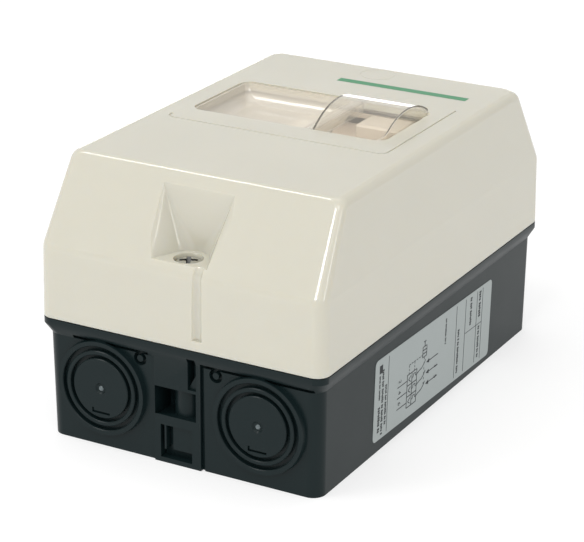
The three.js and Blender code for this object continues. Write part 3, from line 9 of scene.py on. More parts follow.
import bmesh
import bpy
from mathutils import Matrix, Vector
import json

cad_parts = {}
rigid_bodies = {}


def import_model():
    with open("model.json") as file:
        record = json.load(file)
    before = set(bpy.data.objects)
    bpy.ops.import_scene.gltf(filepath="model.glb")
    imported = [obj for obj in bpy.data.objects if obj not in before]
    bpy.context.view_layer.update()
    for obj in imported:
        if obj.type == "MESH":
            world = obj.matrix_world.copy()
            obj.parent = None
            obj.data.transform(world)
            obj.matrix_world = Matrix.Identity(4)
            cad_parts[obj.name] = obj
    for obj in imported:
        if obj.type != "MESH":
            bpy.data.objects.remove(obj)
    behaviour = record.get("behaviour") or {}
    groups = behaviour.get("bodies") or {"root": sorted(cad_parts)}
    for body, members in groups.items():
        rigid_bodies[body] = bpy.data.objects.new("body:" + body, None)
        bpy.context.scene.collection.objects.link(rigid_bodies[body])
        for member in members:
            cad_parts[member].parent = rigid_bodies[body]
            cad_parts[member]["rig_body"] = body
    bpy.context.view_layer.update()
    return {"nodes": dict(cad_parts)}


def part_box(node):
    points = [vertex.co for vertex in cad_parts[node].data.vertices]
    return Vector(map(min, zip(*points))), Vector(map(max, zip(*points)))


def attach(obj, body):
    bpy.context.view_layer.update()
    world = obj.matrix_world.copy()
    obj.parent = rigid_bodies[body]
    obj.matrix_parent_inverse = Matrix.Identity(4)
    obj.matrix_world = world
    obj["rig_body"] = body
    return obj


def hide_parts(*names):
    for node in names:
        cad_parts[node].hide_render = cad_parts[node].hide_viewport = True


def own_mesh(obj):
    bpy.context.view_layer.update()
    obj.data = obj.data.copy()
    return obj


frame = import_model()

MM = 0.001
SCENE = bpy.context.scene


# ------------ sizes

def box_mm(node):
    low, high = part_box(node)
    return low / MM, high / MM


SCREW_LOW, SCREW_HIGH = box_mm("cover_screw_front")
SPRING_LOW, SPRING_HIGH = box_mm("start_button_spring")
HALF_WIDTH, HALF_LENGTH, TOP_Z = box_mm("cover")[1]
LIP_TOP_Z = box_mm("base_box")[1].z
FILM_TOP_Z = box_mm("window_membrane")[1].z
FRAME_FOOT_Z = box_mm("window_retaining_frame")[0].z
GAP = 0.3  # between neighbours
SPLIT_Z = LIP_TOP_Z + GAP
SCREW_Y = -(SCREW_LOW.y + SCREW_HIGH.y) / 2  # both cover screws' distance from the middle
SCREW_AXIS = (0, -SCREW_Y, 0)  # where the near screw's axis meets the wall

# Cover
BEND_Z = 59.0
END_SLOPE_INSET = 15.3
SIDE_DRAFT_INSET = 2.2
BAND_DRAFT = 0.3
CORNER_RADIUS = 4.0
INNER_CORNERS = (1.5, 2)  # in the cover and in the base
COVER_WALL = 2.5
LONG_EDGE_RADIUS = 3.0
END_EDGE_RADIUS = 1.2
BEND_RADIUS = 5.0
SLOPE = (END_SLOPE_INSET - BAND_DRAFT) / (TOP_Z - BEND_Z)
ROOF_Z = TOP_Z - COVER_WALL
POCKET_FLOOR_Z = 61.6
POCKET_ARC_RADIUS = 5.9
POCKET_FLARE = math.radians(26)
POCKET_TOP_HALF = 11.6
POCKET_WALL = 2.2
CREST_CHAMFER = 1.2  # of the pocket's left side edge
CREST_RADIUS = 1.6  # of its right side edge
COVER_ROUNDING = 0.55
TOWER_RADIUS = 5.6
HEAD_SEAT_Z = 58.6
HEAD_RADIUS = 4.15
SHANK_RADIUS = 2.0
RING_ROOM = (4.0, 50.9)  # radius and top of the captive ring's room
SIDE_GROOVE_X = 6.6
SIDE_GROOVE_RADIUS = 1.75
SIDE_GROOVE_DEPTH = 0.9
SIDE_GROOVE_FOOT_Z = 40.3
LINE_WIDTH = 0.6
LINE_DEPTH = 0.3
INDICATOR_AT = (-1.5, 51.4)
INDICATOR_RADIUS = 5.8
INDICATOR_DEPTH = 0.06
TONGUE = (1.2, 1.2, 1.0)  # inset, width, depth
WINDOW_LINE_MARGIN = (1.9, 5.5, 10, 4)  # from the window: left, right, near, far
WINDOW_LINE_CORNER = 2.5

# Window
WINDOW_X = (-34.8, 30.6)
WINDOW_Y = (-8.4, 25.2)
WINDOW_CORNER = 4.0
FLANGE_WIDTH = 3.0
FLANGE_Z = 80.2
TRAY_RIGHT_X = 3.2
TRAY_DEPTH = 6.0
TRAY_CORNERS = (1.5, 4.0)  # at its rim and at its floor
DOME_LEFT_X = 7.0
FILM = 0.45
DOME_ROUNDING = 1.0
TRAY_LEAN = (4.6, 1.6, 3.0, 4.2)  # how far its walls lean in: left, right, near, far
TRAY_WAVE = (0.7, 26.0)  # depth and length of the sag along its far wall
FILM_GAP = 0.4
FILM_RIM_Z = TOP_Z - 0.4
PEG_RADIUS = 1.1
PEG_MARGIN = 2.4
FILM_ROUNDING = 0.3

# Base
FLOOR = 2.5
BASE_WALL = 2.4
LIP_HEIGHT = 1.9
LIP_CHAMFER_HEIGHT = 3.1
LIP_OVERHANG = 1.6
BASE_DRAFT = 0.35
BASE_HALF = (HALF_WIDTH - LIP_OVERHANG, HALF_LENGTH - LIP_OVERHANG)
CHAMFER_TOP_Z = LIP_TOP_Z - LIP_HEIGHT
CHAMFER_FOOT_Z = CHAMFER_TOP_Z - LIP_CHAMFER_HEIGHT
WALL_Y = -(BASE_HALF[1] - BASE_DRAFT / 2)
ENTRY_X = (-25.9, 25.9)
ENTRY_Z = 18.75
ENTRY_Y = -(HALF_LENGTH - 0.1)
BOSS_RADIUS = 14.4
BOSS_TAPER = 0.6
KNOCKOUT_GROOVES = ((11.6, 12.95), (9.2, 10.35))  # inner and outer radii
KNOCKOUT_DEPTH = 1.6
LIP_BREAK = 0.22
GATE_STUB = ((0.25, -0.09), (0.55, 0), (0.8, 0.25), (0.85, 0.45))  # radius, depth
PRY_DROP = 7.2  # from the entry's middle down to its pry notch
PRY_HALF = 3.0
PRY_DEPTH = 0.8
PANEL_X = (-8.4, 6.9)
PANEL_PROUD = 0.5
FACE = WALL_Y - PANEL_PROUD  # face of the middle panel
NICHE_X = (-8.2, 5.4)
NICHE_Z = (14, 23.5)
SLOT_X = (2.8, 5.5)
SLOT_Z = (24.4, 34.2)
CLIP_CHANNELS = (  # X, depth and Z: the foot and sides of the U, and the tongue's face
    ((-6.4, 4), 3, (1.5, 4.3)),
    ((-6.4, -5.1), 3, (1.5, 11.8)),
    ((-4.5, -2.7), 2.6, (3.8, 11.8)),
    ((-3.2, 4), 0.8, (3.8, 11.8)),
)
BLIND_X = (-13.1, 11.8)
BLIND_Z = 30.5
POST_RADIUS = 4.2
PILLAR_X = (-11, 9)
PILLAR_DEPTH = 10.5
SCREW_HOLE_FOOT_Z = 25.6
GROOVE = (0.9, 1.8, 2.5)  # inset, width and depth, for the cover's tongue
FIXING_RADIUS = 2.25
FIXING_AT = (33, 52)
RAIL_X = (-19, 37)
RAIL_HALF = (13.5, 17.5)  # of the rail's web and of its flanges
RAIL_Z = (8.8, 10)
EARTH_PAD = ((-33, -25), (-5, 5), 9)  # X, Y and top
BASE_ROUNDING = 0.35

# Facets
QUARTER = 10  # on a quarter of a rounded corner
ROUND = 96  # on a circle that shows
HOLE_ROUND = 48
SHANK_ROUND = 32
PEG_ROUND = 24

SMOOTH_ANGLE = math.radians(32)


# ------------ mesh helpers

def linked(name, data):
    obj = bpy.data.objects.new(name, data)
    SCENE.collection.objects.link(obj)
    return obj


def new_object(name, points, faces):
    mesh = bpy.data.meshes.new(name)
    mesh.from_pydata([Vector(point) * MM for point in points], [], faces)
    return linked(name, mesh)


def loft_faces(count, levels, hoop=False, first=0):
    """The faces of a loft through levels of count points, numbered from the first."""
    faces = []
    for level in range(levels if hoop else levels - 1):
        low, high = first + level * count, first + (level + 1) % levels * count
        for i in range(count):
            j = (i + 1) % count
            faces.append((low + i, low + j, high + j, high + i))
    if not hoop:
        faces.append(tuple(first + i for i in reversed(range(count))))
        faces.append(tuple(first + (levels - 1) * count + i for i in range(count)))
    return faces


def loft(rings, hoop=False):
    """A solid through rings counter-clockwise seen from the last one's side.

    A hoop has no ends: its last ring joins its first.
    """
    points = [point for ring in rings for point in ring]
    return new_object("loft", points, loft_faces(len(rings[0]), len(rings), hoop))


def polar(radius, angle):
    return radius * math.cos(angle), radius * math.sin(angle)


def rounded_ring(half, radius, z, centre=(0, 0), steps=QUARTER):
    ring = []
    for sx, sy, start in ((1, 1, 0), (-1, 1, 1), (-1, -1, 2), (1, -1, 3)):
        for step in range(steps + 1):
            dx, dy = polar(radius, (start + step / steps) * math.pi / 2)
            ring.append((
                centre[0] + sx * (half[0] - radius) + dx,
                centre[1] + sy * (half[1] - radius) + dy, z,
            ))
    return ring


def rounded_block(x, y, radius, z0, z1):
    centre = ((x[0] + x[1]) / 2, (y[0] + y[1]) / 2)
    half = ((x[1] - x[0]) / 2, (y[1] - y[0]) / 2)
    return loft([rounded_ring(half, radius, z, centre) for z in (z0, z1)])


def block(x, y, z):
    corners = [(x[0], y[0]), (x[1], y[0]), (x[1], y[1]), (x[0], y[1])]
    return loft([[(a, b, level) for a, b in corners] for level in z])


def turned(profile, centre=(0, 0, 0), axis="Z", sides=ROUND, hoop=False):
    """A profile of (radius, height) points about an axis; a hoop's outer side runs upwards."""
    rings = []
    for radius, height in profile:
        ring = circle(radius, height, sides)
        if axis == "Y":
            ring = [(x, z, -y) for x, y, z in ring]
        rings.append([tuple(p + c for p, c in zip(point, centre)) for point in ring])
    return loft(rings, hoop)


def rod(radius, ends, centre, axis="Z", sides=ROUND, far_radius=None):
    far = radius if far_radius is None else far_radius
    return turned([(radius, ends[0]), (far, ends[1])], centre, axis, sides)


def pipe(inner, outer, ends, centre, axis="Z", sides=ROUND):
    profile = [(outer, ends[0]), (outer, ends[1]), (inner, ends[1]), (inner, ends[0])]
    return turned(profile, centre, axis, sides, hoop=True)


def prism(plane, outline, ends):
    """A counter-clockwise outline of (a, b) points in a plane, between two levels across it."""
    if plane == "xz":
        return loft([[(a, -level, b) for a, b in outline] for level in (-ends[1], -ends[0])])
    if plane == "yz":
        return loft([[(level, a, b) for a, b in outline] for level in ends])
    return loft([[(a, b, level) for a, b in outline] for level in ends])


def merge_flat(work, angle):
    """Makes faces that meet at less than the angle, in degrees, one face."""
    bmesh.ops.dissolve_limit(
        work, angle_limit=math.radians(angle), verts=work.verts, edges=work.edges,
    )


def hull(points):
    work = bmesh.new()
    for point in points:
        work.verts.new(Vector(point) * MM)
    result = bmesh.ops.convex_hull(work, input=work.verts)
    inside = {item for item in result["geom_interior"] if isinstance(item, bmesh.types.BMVert)}
    bmesh.ops.delete(work, geom=list(inside), context="VERTS")
    bmesh.ops.recalc_face_normals(work, faces=work.faces)
    merge_flat(work, 0.4)
    mesh = bpy.data.meshes.new("hull")
    work.to_mesh(mesh)
    work.free()
    return linked("hull", mesh)


def evaluated_mesh(obj):
    graph = bpy.context.evaluated_depsgraph_get()
    return bpy.data.meshes.new_from_object(obj.evaluated_get(graph))


def apply_modifiers(obj):
    mesh = evaluated_mesh(obj)
    obj.modifiers.clear()
    old = obj.data
    obj.data = mesh
    bpy.data.meshes.remove(old)


def combine(body, operation, tools):
    """Joins the tools to the body, cuts them from it or keeps what they share, and removes them."""
    for tool in tools:
        modifier = body.modifiers.new("combine", "BOOLEAN")
        modifier.operation = operation
        modifier.solver = "MANIFOLD"
        modifier.object = tool
    apply_modifiers(body)
    for tool in tools:
        bpy.data.objects.remove(tool)
    return body


def join(body, *tools):
    return combine(body, "UNION", tools)


def cut(body, *tools):
    return combine(body, "DIFFERENCE", tools)


def common(body, *tools):
    return combine(body, "INTERSECT", tools)


def both_ends(*solids):
    """The solids, and copies turned half round for the enclosure's far end."""
    turned_copies = []
    for solid in solids:
        mesh = solid.data.copy()
        mesh.transform(Matrix.Rotation(math.pi, 4, "Z"))
        turned_copies.append(linked(solid.name, mesh))
    return [*solids, *turned_copies]


def circle(radius, z, sides):
    return [(*polar(radius, 2 * math.pi * side / sides), z) for side in range(sides)]


def grown(span, by):
    return (span[0] - by, span[1] + by)


def centred(half, middle=0):
    return (middle - half, middle + half)


def add_bevel(obj, width, segments):
    bevel = obj.modifiers.new("bevel", "BEVEL")
    bevel.width = width * MM
    bevel.segments = segments
    return bevel


def round_edges(obj, width, segments, angle=30):
    """Rounds every edge sharper than the angle, in degrees."""
    bevel = add_bevel(obj, width, segments)
    bevel.limit_method = "ANGLE"
    bevel.angle_limit = math.radians(angle)
    apply_modifiers(obj)


def shade_smooth(obj):
    obj.data.shade_smooth()
    obj.data.set_sharp_from_angle(angle=SMOOTH_ANGLE)
    normals = obj.modifiers.new("normals", "WEIGHTED_NORMAL")
    normals.keep_sharp = True
    normals.weight = 80


def finish_piece(obj, name, material, slot, body, *replaced):
    obj.name = name
    obj.data.name = name
    obj.data.materials.clear()
    obj.data.materials.append(material)
    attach(obj, body)
    if replaced:
        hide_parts(*replaced)


# ------------ cover

def profile_at(profile, z):
    """The level distance of a rising profile of (distance, z) points at height z."""
    for (d0, z0), (d1, z1) in zip(profile, profile[1:]):
        if z0 <= z <= z1 and z1 > z0:
            return d0 + (d1 - d0) * (z - z0) / (z1 - z0)
    return profile[-1][0]


def filleted(corners, radii):
    """A polyline of (distance, z) points whose inner corners are rounded."""
    points = [corners[0]]
    for before, corner, after, radius in zip(corners, corners[1:], corners[2:], radii):
        a = (Vector(before) - Vector(corner)).normalized()
        b = (Vector(after) - Vector(corner)).normalized()
        half = a.angle(b) / 2
        centre = Vector(corner) + (a + b).normalized() * (radius / math.sin(half))
        start = Vector(corner) + a * (radius / math.tan(half)) - centre
        end = Vector(corner) + b * (radius / math.tan(half)) - centre
        turn = start.angle_signed(end)
        for step in range(QUARTER + 1):
            point = centre + Matrix.Rotation(-turn * step / QUARTER, 2) @ start
            points.append((point.x, point.y))
    return points


def cover_profile(half, top_inset, edge_radius):
    """Half section of the cover: drafted band, bend, slope and rounded top edge."""
    corners = [
        (half, SPLIT_Z), (half - BAND_DRAFT, BEND_Z), (half - top_inset, TOP_Z),
        (0, TOP_Z + 0.001),
    ]
    return filleted(corners, (BEND_RADIUS, edge_radius))


def cover_outside():
    end = cover_profile(HALF_LENGTH, END_SLOPE_INSET, END_EDGE_RADIUS)
    side = cover_profile(HALF_WIDTH, SIDE_DRAFT_INSET, LONG_EDGE_RADIUS)
    below_top = TOP_Z - 0.002
    heights = sorted({round(z, 3) for _, z in end + side if z < below_top} | {TOP_Z})
    rings = []
    for z in heights:
        share = max(0, (z - BEND_Z) / (TOP_Z - BEND_Z))
        radius = CORNER_RADIUS - share * (CORNER_RADIUS - LONG_EDGE_RADIUS)
        level = min(z, below_top)
        rings.append(rounded_ring((profile_at(side, level), profile_at(end, level)), radius, z))
    return loft(rings)


def cover_half(z):
    above = max(z - BEND_Z, 0)
    side_slope = (SIDE_DRAFT_INSET - BAND_DRAFT) / (TOP_Z - BEND_Z)
    band = BAND_DRAFT if z > SPLIT_Z else 0
    return HALF_WIDTH - band - side_slope * above, HALF_LENGTH - band - SLOPE * above


def cover_inside():
    stretch = math.hypot(1, SLOPE)
    bend_z = BEND_Z - COVER_WALL * (stretch - 1) / SLOPE
    sections = ((SPLIT_Z - 1, COVER_WALL), (bend_z, COVER_WALL), (ROOF_Z, COVER_WALL * stretch))
    rings = []
    for z, end_wall in sections:
        half_x, half_y = cover_half(z)
        half = (half_x - COVER_WALL, half_y - end_wall)
        rings.append(rounded_ring(half, INNER_CORNERS[0], z, steps=4))
    return loft(rings)


def pocket(offset, floor_z):
    """The screwdriver pocket in the near slope: round back, flared sides, level top edge."""
    radius = POCKET_ARC_RADIUS + offset
    back_y = -SCREW_Y + radius
    top_z = BEND_Z + (POCKET_ARC_RADIUS + HALF_LENGTH - BAND_DRAFT - SCREW_Y) / SLOPE + offset
    reach = 2 * POCKET_ARC_RADIUS + 4 * offset
    steps = 4 * QUARTER
    points = []
    for step in range(steps + 1):
        x, y = polar(radius, POCKET_FLARE + step / steps * (math.pi - 2 * POCKET_FLARE))
        points.append((x, y - SCREW_Y, floor_z))
    for side in (-1, 1):
        foot_x = side * radius * math.cos(POCKET_FLARE)
        foot_y = -SCREW_Y + radius * math.sin(POCKET_FLARE)
        top_x = side * (POCKET_TOP_HALF + offset)
        out_x = side * reach * math.sin(POCKET_FLARE)
        out_y = -reach * math.cos(POCKET_FLARE)
        points.append((foot_x + out_x, foot_y + out_y, floor_z))
        points.append((top_x, back_y, top_z))
        points.append((top_x + out_x, back_y + out_y, top_z))
    return hull(points)


def top_line(path):
    """A fine groove in the cover's top along a path of (x, y) points."""
    left, right = [], []
    for index, point in enumerate(path):
        before = Vector(path[max(index - 1, 0)])
        after = Vector(path[min(index + 1, len(path) - 1)])
        along = (after - before).normalized()
        across = Vector((-along.y, along.x)) * (LINE_WIDTH / 2)
        left.append(tuple(Vector(point) + across))
        right.append(tuple(Vector(point) - across))
    return prism("xy", right + left[::-1], (TOP_Z - LINE_DEPTH, TOP_Z + 1))


def window_line():
    left_margin, right_margin, near_margin, far_margin = WINDOW_LINE_MARGIN
    x0, x1 = WINDOW_X[0] - left_margin, WINDOW_X[1] + right_margin
    y0, y1 = WINDOW_Y[0] - near_margin, WINDOW_Y[1] + far_margin
    radius = WINDOW_LINE_CORNER
    arc = [step * math.pi / 2 / QUARTER for step in range(QUARTER + 1)]
    left = [(x0 + radius * (1 - math.cos(a)), y0 + radius * (1 - math.sin(a))) for a in arc]
    right = [(x1 - radius * (1 - math.sin(a)), y0 + radius * (1 - math.cos(a))) for a in arc]
    return top_line([(x0, y0 + radius + 1), *left, *right, (x1, y1)])


def perimeter_ring(inset, width, z):
    def outline(by, level):
        radius = max(CORNER_RADIUS - by, 0.5)
        return rounded_ring((HALF_WIDTH - by, HALF_LENGTH - by), radius, level, steps=6)

    outer = [outline(inset, level) for level in z]
    inner = [outline(inset + width, level) for level in reversed(z)]
    return loft([*outer, *inner], hoop=True)


def peg_places():
    return [(x, y) for x in grown(WINDOW_X, PEG_MARGIN) for y in grown(WINDOW_Y, PEG_MARGIN)]


def round_chosen_edges(obj, chosen, width, segments):
    """Rounds the edges whose two ends, in millimetres, the test chooses."""
    weights = obj.data.attributes.new("bevel_weight_edge", "FLOAT", "EDGE")
    places = [vertex.co / MM for vertex in obj.data.vertices]
    for edge in obj.data.edges:
        ends = [places[index] for index in edge.vertices]
        weights.data[edge.index].value = 1.0 if chosen(*ends) else 0.0
    bevel = add_bevel(obj, width, segments)
    bevel.limit_method = "WEIGHT"
    bevel.use_clamp_overlap = False
    apply_modifiers(obj)
    obj.data.attributes.remove(obj.data.attributes["bevel_weight_edge"])


def on_slope(place):
    from_slope = abs(abs(place.y) - cover_half(place.z)[1])
    return from_slope < 0.03 and place.z > POCKET_FLOOR_Z - 0.01


def pocket_crest(side):
    """A test for the inclined edge between the end slope and the pocket's wall on that side."""
    def chosen(a, b):
        across = [end.x * side * (1 if end.y < 0 else -1) for end in (a, b)]
        return (on_slope(a) and on_slope(b) and abs(a.z - b.z) > 0.05
                and all(4 < x < POCKET_TOP_HALF + 0.1 for x in across))
    return chosen


def groove_cutter():
    """The shallow round groove from the pocket's floor down the end band."""
    reach = SIDE_GROOVE_RADIUS - SIDE_GROOVE_DEPTH
    section = circle(SIDE_GROOVE_RADIUS, 0, HOLE_ROUND)
    parts = []
    for z0, z1 in ((SIDE_GROOVE_FOOT_Z, BEND_Z), (BEND_Z, POCKET_FLOOR_Z + 2)):
        points = []
        for z in (z0, z1):
            y = -cover_half(z)[1] - reach
            points += [(SIDE_GROOVE_X + dx, y + dy, z) for dx, dy, _ in section]
        parts.append(hull(points))
    return join(*parts)


def build_cover(material):
    shell = cut(cover_outside(), cover_inside())
    column = join(
        pocket(POCKET_WALL, HEAD_SEAT_Z - POCKET_WALL),
        rod(TOWER_RADIUS, (SPLIT_Z, POCKET_FLOOR_Z), SCREW_AXIS),
    )
    common(column, cover_outside())
    pegs = [rod(PEG_RADIUS, (FRAME_FOOT_Z - 0.6, ROOF_Z + 0.5), (x, y, 0), sides=PEG_ROUND)
            for x, y in peg_places()]
    tongue = perimeter_ring(TONGUE[0], TONGUE[1], (SPLIT_Z - TONGUE[2], SPLIT_Z + 0.5))
    join(shell, *both_ends(column), tongue, *pegs)
    cut(
        shell,
        *both_ends(
            pocket(0, POCKET_FLOOR_Z),
            rod(HEAD_RADIUS + GAP / 2, (HEAD_SEAT_Z - GAP, TOP_Z), SCREW_AXIS),
        ),
        rounded_block(WINDOW_X, WINDOW_Y, WINDOW_CORNER, ROOF_Z - 1, TOP_Z + 1),
    )
    round_chosen_edges(shell, pocket_crest(-1), CREST_CHAMFER, segments=1)
    round_chosen_edges(shell, pocket_crest(1), CREST_RADIUS, segments=5)
    round_edges(shell, COVER_ROUNDING, segments=4, angle=22)
    cut(
        shell,
        *both_ends(
            rod(SHANK_RADIUS + 0.4, (SPLIT_Z - 1, HEAD_SEAT_Z + 1), SCREW_AXIS, sides=HOLE_ROUND),
            rod(RING_ROOM[0], (SPLIT_Z - 1, RING_ROOM[1]), SCREW_AXIS, sides=HOLE_ROUND),
            groove_cutter(),
        ),
        window_line(),
        pipe(INDICATOR_RADIUS - LINE_WIDTH, INDICATOR_RADIUS,
             (TOP_Z - INDICATOR_DEPTH, TOP_Z + 1), (*INDICATOR_AT, 0)),
    )
    shade_smooth(shell)
    finish_piece(shell, "cover_shell", material, "enclosure_cream", "cover_body", "cover")


# ------------ base

def entry_boss(x):
    return rod(BOSS_RADIUS, (ENTRY_Y, WALL_Y + BASE_WALL / 2), (x, 0, ENTRY_Z), "Y",
               far_radius=BOSS_RADIUS + BOSS_TAPER)


def entry_cuts(x):
    """The grooves of two nested knock-outs and the screwdriver notch below the middle."""
    centre = (x, 0, ENTRY_Z)
    depth = (ENTRY_Y - 1, ENTRY_Y + KNOCKOUT_DEPTH)
    lips = (ENTRY_Y - 0.01, ENTRY_Y + LIP_BREAK)
    solids = []
    for inner, outer in KNOCKOUT_GROOVES:
        wide = turned([
            (outer + LIP_BREAK, lips[0]), (outer, lips[1]), (inner, lips[1]),
            (inner - LIP_BREAK, lips[0]),
        ], centre, "Y", hoop=True)
        solids += [pipe(inner, outer, depth, centre, "Y"), wide]
    pry_y = (ENTRY_Y - 1, ENTRY_Y + PRY_DEPTH)
    pry_top = ENTRY_Z - PRY_DROP
    pry = block(centred(PRY_HALF, x), pry_y, (pry_top - 0.65, pry_top))
    tick = block((x - PRY_HALF, x - 2.4), pry_y, (pry_top - 0.2, pry_top + 0.9))
    dimple = turned([(1.75, ENTRY_Y - 0.01), (1.35, ENTRY_Y + 0.4)], centre, "Y", 40)
    return [*solids, pry, tick, dimple]


def build_gate_stubs(material):
    """The broken-off sprue stub at the middle of each knock-out, in a paler plastic than the base
    as a painted glint.
    """
    profile = [(radius, ENTRY_Y + depth) for radius, depth in GATE_STUB]
    stubs = both_ends(*(turned(profile, (x + 0.1, 0, ENTRY_Z), "Y", 7) for x in ENTRY_X))
    finish_piece(join(*stubs), "gate_stubs", material, "enclosure_anthracite", "enclosure")


def clip_recesses():
    """Recesses between the entries: ramped slot, niche round the post, U round a clip tongue."""
    outside = FACE - 1
    niche = cut(
        block(NICHE_X, (outside, WALL_Y + 8), NICHE_Z),
        rod(POST_RADIUS, grown(NICHE_Z, 1), SCREW_AXIS),
    )
    left, right = NICHE_X
    foot = NICHE_Z[0]
    sill = prism("xy", [(left, FACE), (right, FACE), (right, FACE + 5)], (foot - 0.1, foot + 0.8))
    slot = block(SLOT_X, (outside, FACE + 3.5), SLOT_Z)
    left, right = grown(SLOT_X, 0.1)
    foot = SLOT_Z[0] - 0.1
    ramp = prism("xz", [(left, foot), (right, foot), (right, foot + 5.7), (left, foot + 0.4)],
                 (FACE + 0.9, FACE + 4))
    channels = [block(x, (outside, FACE + depth), z) for x, depth, z in CLIP_CHANNELS]
    edge_line = block((PANEL_X[1], PANEL_X[1] + 1), (outside, WALL_Y + 0.8),
                      (-1, CHAMFER_FOOT_Z + 1))
    blind = [pipe(1, 2.1, (outside, WALL_Y + 1.4), (x, 0, BLIND_Z), "Y", sides=40)
             for x in BLIND_X]
    undercut_z = (CHAMFER_FOOT_Z, CHAMFER_FOOT_Z + 1.1)
    undercuts = [block(x, (WALL_Y - 1, WALL_Y + 0.9), undercut_z)
                 for x in ((10.9 - HALF_WIDTH, -10.3), (PANEL_X[1], HALF_WIDTH - 3.5))]
    return [cut(niche, sill), cut(slot, ramp), *channels, edge_line, *blind, *undercuts]


def base_rail():
    """The rail's web, moulded in one with the base, and its wider flanges."""
    web, flanges = RAIL_HALF
    return [block(RAIL_X, centred(web), (FLOOR - 1, RAIL_Z[1])),
            block(RAIL_X, centred(flanges), RAIL_Z)]


def build_base(material):
    foot = (BASE_HALF[0] - BASE_DRAFT, BASE_HALF[1] - BASE_DRAFT)
    inner = (BASE_HALF[0] - BASE_WALL, BASE_HALF[1] - BASE_WALL)
    wall_top = CHAMFER_FOOT_Z + 1
    full = (HALF_WIDTH, HALF_LENGTH)
    tub = loft([
        rounded_ring(foot, CORNER_RADIUS, 0), rounded_ring(BASE_HALF, CORNER_RADIUS, wall_top),
    ])
    lip = loft([
        rounded_ring(BASE_HALF, CORNER_RADIUS, CHAMFER_FOOT_Z),
        rounded_ring(full, CORNER_RADIUS, CHAMFER_TOP_Z),
        rounded_ring(full, CORNER_RADIUS, LIP_TOP_Z),
    ])
    inside = loft([
        rounded_ring((inner[0] - BASE_DRAFT, inner[1] - BASE_DRAFT), INNER_CORNERS[1], FLOOR),
        rounded_ring(inner, INNER_CORNERS[1], LIP_TOP_Z + 1),
    ])
    join(tub, lip, *both_ends(*(entry_boss(x) for x in ENTRY_X)))
    back_recesses = [
        rod(BOSS_RADIUS - 0.6, (ENTRY_Y + BASE_WALL, WALL_Y + 4.8), (x, 0, ENTRY_Z), "Y")
        for x in ENTRY_X
    ]
    cut(tub, inside, *both_ends(*back_recesses))
    round_edges(tub, BASE_ROUNDING, segments=3)
    panel = block(PANEL_X, (FACE, WALL_Y + 1), (0, wall_top))
    pillar = block(PILLAR_X, (WALL_Y + 1, WALL_Y + PILLAR_DEPTH), (FLOOR - 1, CHAMFER_TOP_Z))
    post = rod(POST_RADIUS, (FLOOR - 1, SPLIT_Z - 0.4), SCREW_AXIS)
    earth_pad = block(EARTH_PAD[0], EARTH_PAD[1], (FLOOR - 1, EARTH_PAD[2]))
    join(tub, *both_ends(panel, pillar, post), *base_rail(), earth_pad)
    screw_hole = rod(SHANK_RADIUS + GAP, (SCREW_HOLE_FOOT_Z, LIP_TOP_Z + 1), SCREW_AXIS,
                     sides=HOLE_ROUND)
    cuts = [solid for x in ENTRY_X for solid in entry_cuts(x)]
    fixings = [rod(FIXING_RADIUS, (-1, FLOOR + 1), (x, y, 0), sides=HOLE_ROUND)
               for x in centred(FIXING_AT[0]) for y in centred(FIXING_AT[1])]
    groove = perimeter_ring(GROOVE[0], GROOVE[1], (LIP_TOP_Z - GROOVE[2], LIP_TOP_Z + 1))
    cut(tub, *both_ends(screw_hole, *clip_recesses(), *cuts), groove, *fixings)
    shade_smooth(tub)
    finish_piece(tub, "base_shell", material, "enclosure_anthracite", "enclosure", "base_box")


# ------------ window

def dome_outline(inset):
    """Section of the dome along the enclosure, inset inside its outer face."""
    y0, y1 = grown(WINDOW_Y, -FILM_GAP)
    half = (y1 - y0) / 2
    rise = FILM_TOP_Z - FILM_RIM_Z
    radius = (half * half + rise * rise) / (2 * rise)
    centre_z = FILM_TOP_Z - radius
    spread = math.asin((half - inset) / (radius - inset))
    steps = 4 * QUARTER
    arch = []
    for step in range(steps + 1):
        y, z = polar(radius - inset, math.pi / 2 - spread + 2 * spread * step / steps)
        arch.append(((y0 + y1) / 2 + y, centre_z + z))
    low = FLANGE_Z - inset
    return [(y1 - inset, low), *arch, (y0 + inset, low)]


def tray(grow, top_z):
    """The tray's bowl: quarter-round walls that lean in to a floor with a sagging far edge."""
    x = (WINDOW_X[0] + FILM_GAP + FILM - grow, TRAY_RIGHT_X + grow)
    y = (WINDOW_Y[0] + FILM_GAP + FILM - grow, WINDOW_Y[1] - FILM_GAP - FILM + grow)
    floor_z = TOP_Z - TRAY_DEPTH - grow
    rim_corner, floor_corner = TRAY_CORNERS
    rings = []
    for step in range(QUARTER + 1):
        angle = step / QUARTER * math.pi / 2
        lean = 1 - math.sin(angle)
        left, right = x[0] + TRAY_LEAN[0] * lean, x[1] - TRAY_LEAN[1] * lean
        near, far = y[0] + TRAY_LEAN[2] * lean, y[1] - TRAY_LEAN[3] * lean
        ring = rounded_ring(
            ((right - left) / 2, (far - near) / 2),
            rim_corner + grow + (floor_corner - rim_corner) * lean,
            floor_z + (FILM_RIM_Z - floor_z) * (1 - math.cos(angle)),
            ((left + right) / 2, (near + far) / 2), steps=2 * QUARTER,
        )
        rings.append([sagging(point, lean, far - near) for point in ring])
    rings.append([(px, py, top_z) for px, py, _ in rings[-1]])
    return loft(rings)


def sagging(point, lean, length):
    x, y, z = point
    share = max(0, (y - sum(WINDOW_Y) / 2) / length * 2)
    wave = math.sin(2 * math.pi * x / TRAY_WAVE[1])
    return (x, y + TRAY_WAVE[0] * share * lean * wave, z)


